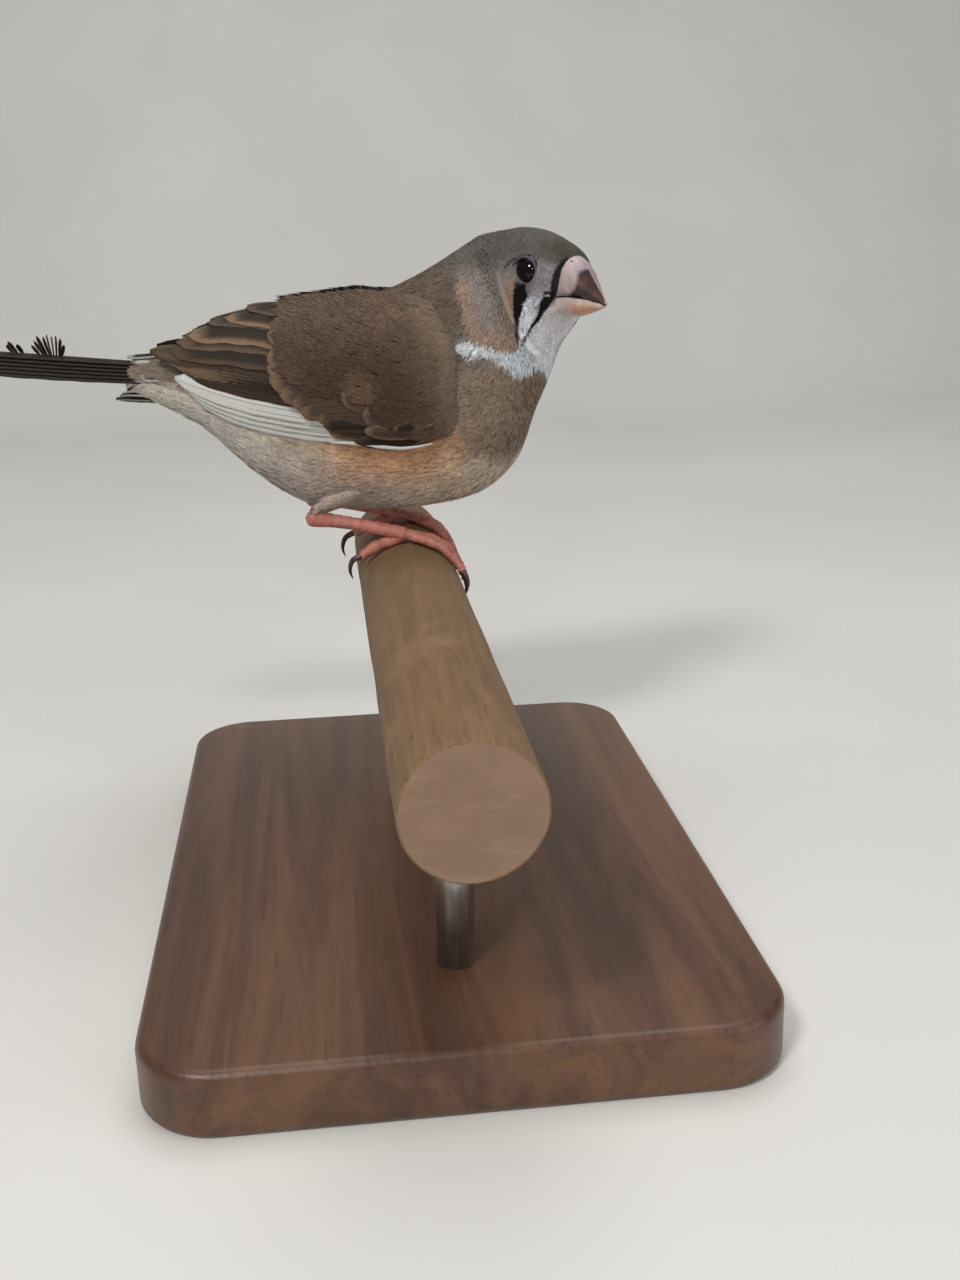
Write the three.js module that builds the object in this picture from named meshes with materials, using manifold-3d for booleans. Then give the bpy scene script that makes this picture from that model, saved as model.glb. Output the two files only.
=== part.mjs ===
// A zebra finch at life size, crouched on a cut length of round perch that a small display stand holds.
// Millimetres, +Z up. The bird faces +X and its left side is +Y. The origin is the middle of the
// underside of the stand's base.
import * as THREE from "three";
import { mergeVertices } from "three/addons/utils/BufferGeometryUtils.js";
import Module from "manifold-3d";

const wasm = await Module();
wasm.setup();

// Driving dimensions
const GAP = 0.3; // clearance between neighbouring pieces
const BASE = { width: 72, length: 106, height: 8, corner: 9, edge: 1.2 };
const ROD = { radius: 2.4, height: 22, places: { front: -34, rear: 32 } };
const PERCH = { radius: 7.5, length: 117, chamfer: 0.25 };
const PERCH_AXIS = BASE.height + ROD.height + PERCH.radius; // height of the perch's axis
const BIRD_Y = 32; // the bird's middle plane along the perch
const RAD = Math.PI / 180;

const v3 = (x, y, z) => new THREE.Vector3(x, y, z);
const lerp = THREE.MathUtils.lerp;
const clamp = THREE.MathUtils.clamp;

// Colours and finishes
const finish = (color, roughness, metalness = 0) =>
  new THREE.MeshStandardMaterial({ color, roughness, metalness });
const FINISH = {
  crown: finish(0x6a6355, 0.9),
  plumage: finish(0x83786a, 0.9),
  wing: finish(0x54443a, 0.8),
  tail: finish(0x26211d, 0.8),
  bill: finish(0xb8705a, 0.35),
  eye: finish(0x0b0a0d, 0.08),
  leg: finish(0xc06a55, 0.5),
  claw: finish(0x3a2a24, 0.4),
  perch: finish(0xa07c5a, 0.8),
  base: finish(0x4b3424, 0.45),
  rod: finish(0xb4b4b2, 0.3, 1),
};

// A value that runs smoothly through keys [[at, value], ...] in rising order of at.
function keyed(keys) {
  return (at) => {
    const last = keys.length - 1;
    if (at <= keys[0][0]) return keys[0][1];
    if (at >= keys[last][0]) return keys[last][1];
    const i = keys.findIndex((k) => k[0] > at) - 1;
    const [a, b] = [keys[i], keys[i + 1]];
    const slope = (j) => {
      const [p, q] = [keys[Math.max(0, j - 1)], keys[Math.min(last, j + 1)]];
      return (q[1] - p[1]) / (q[0] - p[0]);
    };
    const span = b[0] - a[0];
    const u = (at - a[0]) / span;
    const [u2, u3] = [u * u, u * u * u];
    return (2 * u3 - 3 * u2 + 1) * a[1] + (u3 - 2 * u2 + u) * span * slope(i)
      + (3 * u2 - 2 * u3) * b[1] + (u3 - u2) * span * slope(i + 1);
  };
}

// A closed body from rings of points, with a fan at each end. All rings have as many points.
function loft(rings) {
  const n = rings[0].length;
  const points = rings.flat();
  const faces = [];
  rings.slice(1).forEach((_, r) => {
    for (let k = 0; k < n; k++) {
      const [a, b] = [r * n + k, r * n + ((k + 1) % n)];
      faces.push(a, b, a + n, b, b + n, a + n);
    }
  });
  for (const r of [0, rings.length - 1]) {
    const middle = rings[r].reduce((sum, p) => sum.add(p), v3(0, 0, 0)).divideScalar(n);
    const centre = points.push(middle) - 1;
    for (let k = 0; k < n; k++) {
      const [a, b] = [r * n + k, r * n + ((k + 1) % n)];
      faces.push(...(r ? [centre, a, b] : [centre, b, a]));
    }
  }
  return new THREE.BufferGeometry().setFromPoints(points).setIndex(faces);
}

// A thin closed plate. point(s, e, side) gives the upper face for side 1 and the lower one for
// side 0, with s from 0 to 1 along it and e from -1 to 1 across. Both faces split alike.
function plate(point, along, across) {
  const columns = across + 1;
  const points = [];
  for (const side of [1, 0])
    for (const s of along)
      for (let j = 0; j <= across; j++) points.push(point(s, (2 * j) / across - 1, side));
  const lower = points.length / 2;
  const faces = [];
  const quad = (a, b, c, d) => faces.push(a, b, c, a, c, d);
  for (let i = 0; i + 1 < along.length; i++) {
    for (let j = 0; j < across; j++) {
      const [a, b] = [i * columns + j, (i + 1) * columns + j];
      faces.push(a, b, b + 1, a, b + 1, a + 1);
      faces.push(lower + a, lower + b + 1, lower + b, lower + a, lower + a + 1, lower + b + 1);
    }
    const [a, b] = [i * columns, (i + 1) * columns];
    quad(a, lower + a, lower + b, b);
    quad(b + across, lower + b + across, lower + a + across, a + across);
  }
  const end = (along.length - 1) * columns;
  for (let j = 0; j < across; j++) {
    quad(j + 1, lower + j + 1, lower + j, j);
    quad(end + j, lower + end + j, lower + end + j + 1, end + j + 1);
  }
  return new THREE.BufferGeometry().setFromPoints(points).setIndex(faces);
}

// A round limb along a path, with a radius keyed on the share of the path that is done.
function limb(path, radius, sides, steps) {
  const curve = new THREE.CatmullRomCurve3(path);
  const frames = curve.computeFrenetFrames(steps, false);
  return loft(Array.from({ length: steps + 1 }, (_, i) => {
    const centre = curve.getPointAt(i / steps);
    return Array.from({ length: sides }, (_, k) => {
      const angle = (2 * Math.PI * k) / sides;
      return centre.clone()
        .addScaledVector(frames.normals[i], radius(i / steps) * Math.cos(angle))
        .addScaledVector(frames.binormals[i], radius(i / steps) * Math.sin(angle));
    });
  }));
}

// Joins and cuts
function solid(geometry) {
  const bare = geometry.clone();
  bare.deleteAttribute("normal");
  bare.deleteAttribute("uv");
  const merged = mergeVertices(bare, 1e-4);
  const made = new wasm.Manifold(new wasm.Mesh({
    numProp: 3,
    vertProperties: new Float32Array(merged.attributes.position.array),
    triVerts: new Uint32Array(merged.index.array),
  }));
  if (made.volume() > 0) return made;
  const turned = merged.index.array.slice();
  for (let i = 0; i < turned.length; i += 3)
    [turned[i], turned[i + 1]] = [turned[i + 1], turned[i]];
  return new wasm.Manifold(new wasm.Mesh({
    numProp: 3,
    vertProperties: new Float32Array(merged.attributes.position.array),
    triVerts: new Uint32Array(turned),
  }));
}
const join = (pieces) => pieces.reduce((sum, piece) => sum.add(piece));
const largest = (made) =>
  made.decompose().reduce((a, b) => (b.volume() > a.volume() ? b : a));

function node(name, made, material) {
  const mesh = largest(made).getMesh();
  const geometry = new THREE.BufferGeometry();
  const points = new Float32Array(mesh.vertProperties);
  geometry.setAttribute("position", new THREE.BufferAttribute(points, 3));
  geometry.setIndex(new THREE.BufferAttribute(new Uint32Array(mesh.triVerts), 1));
  geometry.computeVertexNormals();
  const placed = new THREE.Mesh(geometry, material);
  placed.name = name;
  return placed;
}

// The head's own frame: its origin is midway between the eyes, x towards the bill, y to the left.
const HEAD = { at: [23.35, -0.3, 45.75], yaw: -54, pitch: 7, roll: -6 };
const headFrame = new THREE.Matrix4()
  .makeRotationFromEuler(
    new THREE.Euler(HEAD.roll * RAD, HEAD.pitch * RAD, HEAD.yaw * RAD, "ZYX"))
  .setPosition(...HEAD.at);
const inHead = (x, y, z) => v3(x, y, z).applyMatrix4(headFrame);
const headSide = v3(0, 1, 0).transformDirection(headFrame);

// The body as rings from the tail's root to the base of the bill. Each has its top, its lowest
// point, its half width, the height of its widest level as a share, and the turn of its side. The
// neck's rings turn from the trunk towards the head by a share.
const turned = (yaw) => v3(Math.sin(-yaw * RAD), Math.cos(yaw * RAD), 0);
const trunkRing = (top, low, half, level, yaw = 0) =>
  ({ top: v3(...top), low: v3(...low), half, level, side: turned(yaw) });
const headRing = (top, low, half, level, share = 1) => ({
  top: inHead(top[0], 0, top[1]), low: inHead(low[0], 0, low[1]), half, level,
  side: turned(-20).lerp(headSide, share),
});
const RINGS = [
  trunkRing([-39.5, 0, 34.6], [-40, 0, 30.9], 3.2, 0.5),
  trunkRing([-34, 0, 35.7], [-35, 0, 28.4], 4.8, 0.5),
  trunkRing([-28, 0, 37.0], [-29, 0, 24.8], 7.2, 0.52),
  trunkRing([-20.5, 0, 38.8], [-22.5, 0, 18.4], 10.1, 0.54),
  trunkRing([-12, 0, 40.8], [-15, 0, 13.3], 12.5, 0.54),
  trunkRing([-5, 0, 42.6], [-6, 0, 11.9], 13.9, 0.52),
  trunkRing([0.5, 0, 44.6], [3.5, 0, 11.9], 14.0, 0.5),
  trunkRing([4.8, 0.3, 46.6], [11.5, 0, 13.6], 13.7, 0.47),
  trunkRing([8.0, 1.0, 48.4], [17.2, 0, 18.2], 12.7, 0.45, -2),
  trunkRing([11.1, 2.2, 50.2], [20.3, -0.2, 25.2], 11.6, 0.44, -8),
  trunkRing([13.5, 3.3, 51.3], [22.7, -0.5, 31.0], 10.3, 0.44, -20),
  headRing([-8.7, 5.3], [1.5, -11.4], 9.0, 0.44, 0.55),
  headRing([-5.9, 5.75], [2.0, -9.5], 7.9, 0.42, 0.82),
  headRing([-2.85, 5.7], [2.7, -7.8], 6.8, 0.4),
  headRing([0.5, 4.95], [3.5, -6.75], 6.0, 0.4),
  headRing([3.5, 3.9], [4.25, -6.05], 4.9, 0.42),
  headRing([5.0, 2.6], [4.6, -5.65], 3.65, 0.45),
];
const evenCurve = (points) => new THREE.CatmullRomCurve3(points, false, "catmullrom", 0.5);
const topLine = evenCurve(RINGS.map((r) => r.top));
const lowLine = evenCurve(RINGS.map((r) => r.low));
const sideLine = evenCurve(RINGS.map((r) => r.side));
const halfLine = keyed(RINGS.map((r, i) => [i, r.half]));
const levelLine = keyed(RINGS.map((r, i) => [i, r.level]));
const FULLNESS = 2.15; // exponent of the rings' outline, 2 being an ellipse

// One ring of the body at station u, counted in RINGS, grown outwards by some clearance.
function bodyRing(u, sides, grow = 0) {
  const share = u / (RINGS.length - 1);
  const [top, low] = [topLine.getPoint(share), lowLine.getPoint(share)];
  const side = sideLine.getPoint(share).normalize();
  const centre = low.clone().lerp(top, levelLine(u));
  const up = top.clone().sub(centre);
  const down = low.clone().sub(centre);
  const half = halfLine(u) + grow;
  const rise = up.length() + grow;
  const drop = down.length() + grow;
  up.normalize();
  const bulge = (c) => Math.sign(c) * Math.abs(c) ** (2 / FULLNESS);
  return Array.from({ length: sides }, (_, k) => {
    const angle = (2 * Math.PI * (k + 0.5)) / sides;
    const [c, s] = [bulge(Math.cos(angle)), bulge(Math.sin(angle))];
    return centre.clone().addScaledVector(side, half * c).addScaledVector(up, s > 0 ? rise * s : drop * s);
  });
}

function bodySolid(sides, perRing, grow = 0) {
  const steps = (RINGS.length - 1) * perRing;
  return solid(loft(Array.from({ length: steps + 1 }, (_, i) => bodyRing(i / perRing, sides, grow))));
}

// A thin slab that parts two pieces, square to a direction.
function slab(at, facing, size, thickness = GAP) {
  const geometry = new THREE.BoxGeometry(size, size, thickness);
  geometry.applyQuaternion(new THREE.Quaternion().setFromUnitVectors(v3(0, 0, 1), facing.clone().normalize()));
  geometry.translate(at.x, at.y, at.z);
  return solid(geometry);
}
function ballAt(centre, radius, sides = 20, stretch = [1, 1, 1]) {
  const geometry = new THREE.SphereGeometry(radius, sides, Math.round(sides * 0.6));
  geometry.scale(...stretch);
  geometry.applyMatrix4(new THREE.Matrix4().extractRotation(headFrame));
  geometry.translate(centre.x, centre.y, centre.z);
  return solid(geometry);
}

// Where the whole body is parted
const TAIL_CUT = { at: v3(-31.5, 0, 32), facing: v3(1, 0, -0.12), size: 22 };
const NECK_CUT = { at: v3(12.6, 0, 36.6), facing: v3(0.62, 0, 0.78), size: 44 };
const HEAD_CUT = { at: inHead(-4.4, 0, -5.6), facing: v3(0.78, -0.32, 0.54), size: 36 };

const whole = bodySolid(36, 2);
const wholeGrown = bodySolid(32, 2, GAP);
const roomForWing = bodySolid(18, 1, GAP + 0.4);
const pieces = [TAIL_CUT, NECK_CUT, HEAD_CUT]
  .reduce((rest, cut) => rest.subtract(slab(cut.at, cut.facing, cut.size)), whole)
  .decompose()
  .map((piece) => {
    const box = piece.boundingBox();
    return { piece, x: (box.min[0] + box.max[0]) / 2 };
  })
  .sort((a, b) => a.x - b.x)
  .map((entry) => entry.piece);
const [tailRoot, torso, neck, skull] = pieces;

// Eyes, lids and the skull's sockets, in the head's frame
const EYE = { radius: 2.5, at: [-0.1, 4.25, -0.25], lid: 0.42, rim: 6.2 };
function eyes() {
  const made = {};
  for (const [name, hand] of [["right", -1], ["left", 1]]) {
    const [x, y, z] = EYE.at;
    const centre = inHead(x, hand * y, z);
    const ring = slab(inHead(x, hand * (EYE.rim - 3), z), headSide, 12, 6);
    made[name] = {
      ball: ballAt(centre, EYE.radius, 16),
      socket: ballAt(centre, EYE.radius + GAP, 14),
      lid: ballAt(centre, EYE.radius + GAP + EYE.lid, 14).intersect(ring),
    };
  }
  return made;
}

// The bill, as arched rings in the head's frame. x runs forwards from the base.
const BILL = {
  base: 4.4, tip: 11.6,
  culmen: keyed([[4.4, 3.0], [5.9, 2.35], [6.7, 1.65], [7.6, 0.75], [8.8, -0.4], [10, -1.55], [11, -2.5], [11.6, -3.1]]),
  keel: keyed([[4.4, -5.9], [6, -5.65], [8, -4.95], [10, -4.1], [11.2, -3.5]]),
  tomium: keyed([[4.4, -3.2], [6.1, -2.8], [8.7, -2.65], [10.6, -2.85], [11.6, -3.15]]),
  half: keyed([[4.4, 3.4], [6.1, 3.05], [7.3, 2.65], [8.7, 1.95], [9.6, 1.35], [10.7, 0.65], [11.6, 0.14]]),
};
function mandible(upper) {
  const tip = upper ? BILL.tip : BILL.tip - 0.35;
  const stations = [0, 0.14, 0.28, 0.42, 0.56, 0.7, 0.82, 0.91, 0.97, 1];
  return solid(loft(stations.map((s) => {
    const x = lerp(BILL.base, tip, s);
    const shrink = upper ? 1 : 0.92;
    const edge = BILL.tomium(x) + (upper ? 0 : -GAP);
    const crest = upper ? BILL.culmen(x) : Math.min(BILL.keel(x), edge - 0.12);
    const height = Math.max(Math.abs(crest - edge), 0.14) * (upper ? 1 : -1);
    const arch = Array.from({ length: 15 }, (_, k) => {
      const angle = Math.PI * (k / 14);
      const y = BILL.half(x) * shrink * Math.cos(angle);
      const rise = Math.sin(angle) ** (upper ? lerp(0.55, 0.85, s) : 0.7);
      return inHead(x + (upper ? 0.9 : 0.5) * (1 - Math.sin(angle)) * -0.5, y, edge + height * rise);
    });
    return arch;
  })));
}
function nostril(hand) {
  return ballAt(inHead(5.9, hand * 1.9, 1.75), 0.5, 10, [1.25, 1, 0.8]);
}

// The folded wing lies on a sheath round the body. x is the place along the body; t runs from the
// wing's lower edge, 0, to its upper edge, 1; h is the height above the sheath.
const SHEATH = {
  half: keyed([[-38, 4.4], [-34, 6.3], [-30, 8.2], [-24, 10.8], [-16, 13.2], [-8, 14.6], [0, 15.0], [8, 14.4], [14, 12.4]]),
  middle: keyed([[-38, 34.6], [-31, 33.2], [-24, 31.8], [-16, 30.8], [-8, 30], [0, 29.6], [8, 30], [14, 31.5]]),
  rise: keyed([[-38, 2.4], [-31, 5.2], [-24, 8.6], [-16, 11], [-8, 13.1], [0, 15.3], [8, 16.6], [14, 16]]),
  lower: keyed([[-38, -22], [-31, -38], [-24, -38], [-16, -34], [-8, -28], [0, -25], [8, -16], [14, -5]]),
  upper: keyed([[-38, 68], [-31, 76], [-24, 80], [-16, 79], [-8, 72], [0, 60], [8, 45], [14, 28]]),
};
function sheath(x, t, h) {
  const angle = lerp(SHEATH.lower(x), SHEATH.upper(x), t) * RAD;
  return v3(x, (SHEATH.half(x) + h) * Math.cos(angle),
    SHEATH.middle(x) + (SHEATH.rise(x) + h) * Math.sin(angle) * (angle < 0 ? 1.15 : 1));
}
const sheathWidth = (x) =>
  (SHEATH.upper(x) - SHEATH.lower(x)) * RAD * (SHEATH.half(x) + SHEATH.rise(x)) * 0.5;

// The outline of a feather as shares of its half width, from root to tip
const VANE_STEPS = [0, 0.35, 0.76, 1];
const vaneWidth = keyed([[0, 0.62], [0.35, 0.95], [0.76, 0.94], [1, 0.3]]);
const vaneDepth = keyed([[0, 1], [0.62, 0.9], [1, 0.45]]);

// One wing feather: root and tip are places [x, t], half its half width, lift its height at root and tip.
function wingFeather(root, tip, half, lift, tilt = 0.24, thick = 0.62) {
  return solid(plate((s, e, side) => {
    const x = lerp(root[0], tip[0], s);
    const t = lerp(root[1], tip[1], s ** 0.85) + (e * half * vaneWidth(s)) / sheathWidth(x);
    const h = lerp(lift[0], lift[1], s) - tilt * e * Math.min(1, 3 * s);
    return sheath(x, t, h - (side ? 0 : thick * vaneDepth(s)));
  }, VANE_STEPS, 1));
}

// Tiers of the wing, from the flight feathers up to the shoulder
const tier = (count, make) => Array.from({ length: count }, (_, i) => make(i, i / (count - 1)));
function wing() {
  const primaries = tier(5, (i, f) =>
    wingFeather([-2 - 2 * f, lerp(0.05, 0.26, f)], [lerp(-30, -35.6, Math.min(1, f * 1.5)), lerp(0.1, 0.5, f)],
      2.6, [0.3, lerp(0.0, 0.5, f)]));
  const secondaries = tier(4, (i, f) =>
    wingFeather([-4, lerp(0.32, 0.6, f)], [lerp(-33.2, -28.5, f), lerp(0.52, 0.74, f)],
      2.9, [0.6, lerp(0.6, 1.0, f)]));
  const tertials = tier(3, (i, f) =>
    wingFeather([-7, lerp(0.68, 0.86, f)], [lerp(-29, -21.5, f), lerp(0.78, 0.94, f)],
      3.2, [0.8, lerp(1.2, 1.6, f)]));
  const greater = tier(7, (i, f) =>
    wingFeather([lerp(-3, -7, f), lerp(0.1, 0.78, f)],
      [lerp(-13.6, -19.4, Math.min(1, f * 1.7)), lerp(0.16, 0.86, f)], 2.8, [0.8, 1.4]));
  const median = tier(5, (i, f) =>
    wingFeather([lerp(3, 0, f), lerp(0.14, 0.84, f)], [lerp(-6, -12.5, f), lerp(0.2, 0.9, f)],
      3.4, [1.0, 1.9]));
  const alula = tier(2, (i, f) =>
    wingFeather([2.5, lerp(0.06, 0.14, f)], [lerp(-10.5, -7, f), lerp(0.05, 0.13, f)], 1.8, [1.0, 1.7]));
  const shoulderSteps = Array.from({ length: 10 }, (_, i) => i / 9);
  const shoulder = solid(plate((s, e, side) => {
    const x = lerp(11.6, -13, s);
    const spread = Math.min(1, 0.35 + 1.2 * s) * Math.min(1, 1.6 - s * 0.9);
    return sheath(x, 0.5 + 0.47 * e * spread, side ? 0.9 + 0.5 * Math.sin(Math.PI * s) * (1 - e * e) : -2.2);
  }, shoulderSteps, 6));
  const core = solid(plate((s, e, side) => {
    const x = lerp(-4, -29, s);
    return sheath(x, 0.48 + 0.44 * e * (1 - 0.45 * s), side ? 0.2 : -lerp(1.6, 0.5, s));
  }, [0, 0.25, 0.5, 0.75, 1], 4));
  return join([shoulder, core, ...primaries, ...secondaries, ...tertials, ...greater, ...median, ...alula]);
}

// The tail: pairs of long feathers stacked like a roof, the middle pair on top, with coverts over
// and under their roots.
const TAIL = { root: v3(-33, 0, 32.9), length: 33.2, rise: 6.0, pairs: 6 };
function tailFeather(hand, root, tip, half, roll, thick = 0.6) {
  const along = tip.clone().sub(root).normalize();
  const flat = v3(0, 1, 0).cross(along).normalize();
  const across = along.clone().cross(flat).normalize().multiplyScalar(hand).applyAxisAngle(along, hand * roll * RAD);
  const up = across.clone().cross(along).normalize();
  if (up.z < 0) up.negate();
  return solid(plate((s, e, side) => root.clone().lerp(tip, s)
    .addScaledVector(across, e * half * vaneWidth(s))
    .addScaledVector(up, side ? 0 : -thick * vaneDepth(s)), VANE_STEPS, 1));
}
function tail() {
  const made = [tailRoot];
  const back = v3(-Math.cos(TAIL.rise * RAD), 0, Math.sin(TAIL.rise * RAD));
  for (const hand of [1, -1]) {
    for (let k = 0; k < TAIL.pairs; k++) {
      const root = TAIL.root.clone().add(v3(0, hand * (0.5 + 0.34 * k), 0.7 - 0.27 * k));
      const tip = root.clone().addScaledVector(back, TAIL.length - 0.9 * k)
        .add(v3(0, hand * (0.45 + 0.3 * k), 0));
      made.push(tailFeather(hand, root, tip, 1.9, -4 - 3 * k, 0.56));
    }
    for (let k = 0; k < 3; k++) {
      made.push(tailFeather(hand, v3(-31.9, hand * (0.9 + 1.5 * k), 35.6 - 1.0 * k),
        v3(-42 + 1.3 * k, hand * (0.8 + 1.1 * k), 35.4 - 0.9 * k), 1.7, -8 - 16 * k));
      made.push(tailFeather(hand, v3(-31.9, hand * (0.9 + 1.4 * k), 28.6 + 1.0 * k),
        v3(-42 + 1.4 * k, hand * (0.7 + 1.0 * k), 30.3 + 0.7 * k), 1.7, 10 + 18 * k));
    }
  }
  const behind = slab(v3(-21.65, 0, 33.3), TAIL_CUT.facing, 60, 20);
  return join(made).subtract(behind);
}

// Legs. hand is 1 for the left leg and -1 for the right one.
const LEG = { side: { 1: 7.2, [-1]: 8 }, heel: [-15.2, 12.1], foot: [-0.7, 8.9] };
const onPerch = (turn, y, height) =>
  v3((PERCH.radius + height) * Math.sin(turn * RAD), y, (PERCH.radius + height) * Math.cos(turn * RAD));
function thigh(hand) {
  const y = hand * LEG.side[hand];
  return solid(limb([v3(-1, y * 0.8, 20), v3(-6, y * 0.86, 16.4), v3(-11, y * 0.96, 14.0), v3(-14.4, y, 12.8)],
    keyed([[0, 5.0], [0.4, 4.3], [0.75, 2.6], [1, 1.25]]), 14, 6))
    .subtract(wholeGrown).subtract(tarsus(hand, GAP));
}
const shankRadius = keyed([[0, 1.0], [0.08, 1.25], [0.3, 1.0], [0.75, 0.95], [1, 1.05]]);
function tarsus(hand, grow = 0) {
  const y = hand * LEG.side[hand];
  const [heel, foot] = [LEG.heel, LEG.foot];
  return solid(limb(
    [v3(heel[0] - grow, y, heel[1]), v3(lerp(heel[0], foot[0], 0.5), y, lerp(heel[1], foot[1], 0.5) + 0.25),
      v3(foot[0] - 1.9, y, foot[1] + 0.42)],
    (s) => shankRadius(s) + grow, 10, 8));
}
// Toes as turns round the perch: from, to, sideways start and end, thickness, then the claw.
const TOES = [
  { from: -6, to: -53, start: -0.2, end: -0.6, radius: 0.9, claw: 3.3, lift: { 1: 1.7, [-1]: 0.9 } },
  { from: 2, to: 66, start: 0.9, end: 3.4, radius: 0.72, claw: 3.0 },
  { from: 0, to: 76, start: 0, end: -0.1, radius: 0.8, claw: 3.4 },
  { from: 2, to: 67, start: -0.9, end: -3.6, radius: 0.72, claw: 3.0 },
];
const toeHeight = 0.7;
function toe(hand, spec) {
  const y = hand * LEG.side[hand];
  const lift = spec.lift ? spec.lift[hand] : 0;
  const path = [0, 0.33, 0.66, 1].map((s) =>
    onPerch(lerp(spec.from, spec.to, s), y + hand * lerp(spec.start, spec.end, s), toeHeight + lift * s * s));
  const pads = keyed([[0, 1.05], [0.18, 0.92], [0.34, 1.06], [0.5, 0.88], [0.66, 1.04], [0.82, 0.84], [1, 0.86]]);
  return solid(limb(path, (s) => spec.radius * pads(s), 7, 7));
}
function foot(hand) {
  const y = hand * LEG.side[hand];
  const pad = new THREE.SphereGeometry(1.45, 10, 7);
  pad.scale(1.15, 1, 0.85);
  pad.translate(LEG.foot[0], y, LEG.foot[1] - 0.15);
  const shank = slab(v3(LEG.foot[0] - 3.35, y, LEG.foot[1] + 0.4), v3(1, 0, -0.2), 6, 3.2);
  return join([solid(pad), ...TOES.map((spec) => toe(hand, spec))])
    .subtract(perchLying).subtract(shank.intersect(tarsusRoom(hand)));
}
// The room that the shank needs above the hind toe, a little larger than the shank itself
function tarsusRoom(hand) {
  const y = hand * LEG.side[hand];
  return solid(limb(
    [v3(-8, y, LEG.foot[1] + 1.9), v3(-4, y, LEG.foot[1] + 1.2), v3(LEG.foot[0] - 1.6, y, LEG.foot[1] + 0.45)],
    () => 1.34, 12, 4));
}
function claw(hand, spec) {
  const y = hand * (LEG.side[hand]) + hand * spec.end;
  const turn = Math.sign(spec.to);
  const lift = spec.lift ? spec.lift[hand] : 0;
  const reach = PERCH.radius + toeHeight;
  const start = spec.to + (turn * (GAP + 0.02)) / reach / RAD;
  const hump = spec.lift ? 0.75 : 0.15;
  const bow = [[0, 0], [0.35, hump], [0.7, 0.7 * hump], [1, -0.35]];
  const path = bow.map(([s, out]) =>
    onPerch(start + (turn * s * spec.claw) / reach / RAD, y, toeHeight + lift + 0.02 + out));
  return solid(limb(path, keyed([[0, 0.56], [0.4, 0.46], [0.75, 0.28], [1, 0.09]]), 7, 6))
    .subtract(perchLying);
}
const perchGeometry = new THREE.CylinderGeometry(PERCH.radius + GAP, PERCH.radius + GAP, 60, 36);
const perchLying = solid(perchGeometry);

// The perch and the stand
function perch() {
  const [r, l, c] = [PERCH.radius, PERCH.length / 2, PERCH.chamfer];
  const profile = [[0, -l], [r - c, -l], [r, -l + c], [r, 0], [r, l - c], [r - c, l], [0, l]];
  const geometry = new THREE.LatheGeometry(profile.map((p) => new THREE.Vector2(...p)), 40);
  return solid(geometry);
}
function standBase() {
  const [w, l, c] = [BASE.width / 2 - BASE.edge, BASE.length / 2 - BASE.edge, BASE.corner];
  const shape = new THREE.Shape();
  shape.moveTo(-w + c, -l);
  for (const [x, y, from] of [[w - c, -l + c, -90], [w - c, l - c, 0], [-w + c, l - c, 90], [-w + c, -l + c, 180]])
    shape.absarc(x, y, c, from * RAD, (from + 90) * RAD, false);
  const geometry = new THREE.ExtrudeGeometry(shape, {
    depth: BASE.height - 2 * BASE.edge, bevelEnabled: true, bevelThickness: BASE.edge,
    bevelSize: BASE.edge, bevelSegments: 2, curveSegments: 5,
  });
  geometry.translate(0, 0, BASE.edge);
  return solid(geometry);
}
function standRod(y) {
  const geometry = new THREE.CylinderGeometry(ROD.radius, ROD.radius, ROD.height + 6, 28);
  geometry.rotateX(Math.PI / 2);
  geometry.translate(0, y, BASE.height + GAP + (ROD.height + 6) / 2);
  const above = new THREE.CylinderGeometry(PERCH.radius + GAP, PERCH.radius + GAP, 20, 64);
  above.translate(0, y, PERCH_AXIS);
  return solid(geometry).subtract(solid(above));
}

// The whole model
const bird = new THREE.Group();
bird.name = "bird";
bird.position.set(0, BIRD_Y, PERCH_AXIS);

const eyeSet = eyes();
const head = join([skull, eyeSet.right.lid, eyeSet.left.lid])
  .subtract(eyeSet.right.socket).subtract(eyeSet.left.socket);
bird.add(node("head", head, FINISH.crown));
bird.add(node("neck", neck, FINISH.plumage));
bird.add(node("torso", torso, FINISH.plumage));
const noseCut = wholeGrown;
bird.add(node("bill_upper",
  mandible(true).subtract(nostril(1)).subtract(nostril(-1)).subtract(noseCut), FINISH.bill));
bird.add(node("bill_lower", mandible(false).subtract(noseCut), FINISH.bill));
for (const name of ["right", "left"]) bird.add(node(`eye_${name}`, eyeSet[name].ball, FINISH.eye));

const tailSolid = tail();
bird.add(node("tail", tailSolid, FINISH.tail));
const tailRoom = bodySolid(24, 1, GAP + 1.7).intersect(slab(v3(-40, 0, 33), v3(1, 0, 0), 60, 17));
const leftWing = wing().subtract(roomForWing).subtract(tailRoom);
bird.add(node("wing_left", leftWing, FINISH.wing));
bird.add(node("wing_right", leftWing.mirror([0, 1, 0]), FINISH.wing));

for (const [name, hand] of [["right", -1], ["left", 1]]) {
  bird.add(node(`thigh_${name}`, thigh(hand), FINISH.plumage));
  bird.add(node(`tarsus_${name}`, tarsus(hand), FINISH.leg));
  bird.add(node(`foot_${name}`, foot(hand), FINISH.leg));
  TOES.forEach((spec, i) => bird.add(node(`claw_${name}_${i + 1}`, claw(hand, spec), FINISH.claw)));
}

const model = new THREE.Group();
model.name = "zebra_finch_on_stand";
model.add(bird);
const perchMesh = node("perch", perch(), FINISH.perch);
perchMesh.position.set(0, 0, PERCH_AXIS);
model.add(perchMesh);
model.add(node("stand_base", standBase(), FINISH.base));
for (const [name, y] of Object.entries(ROD.places))
  model.add(node(`stand_rod_${name}`, standRod(y), FINISH.rod));

export default model;
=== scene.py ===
import math

import bmesh
import bpy
import numpy as np
from mathutils import Matrix, Vector, noise
from mathutils.kdtree import KDTree


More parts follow.
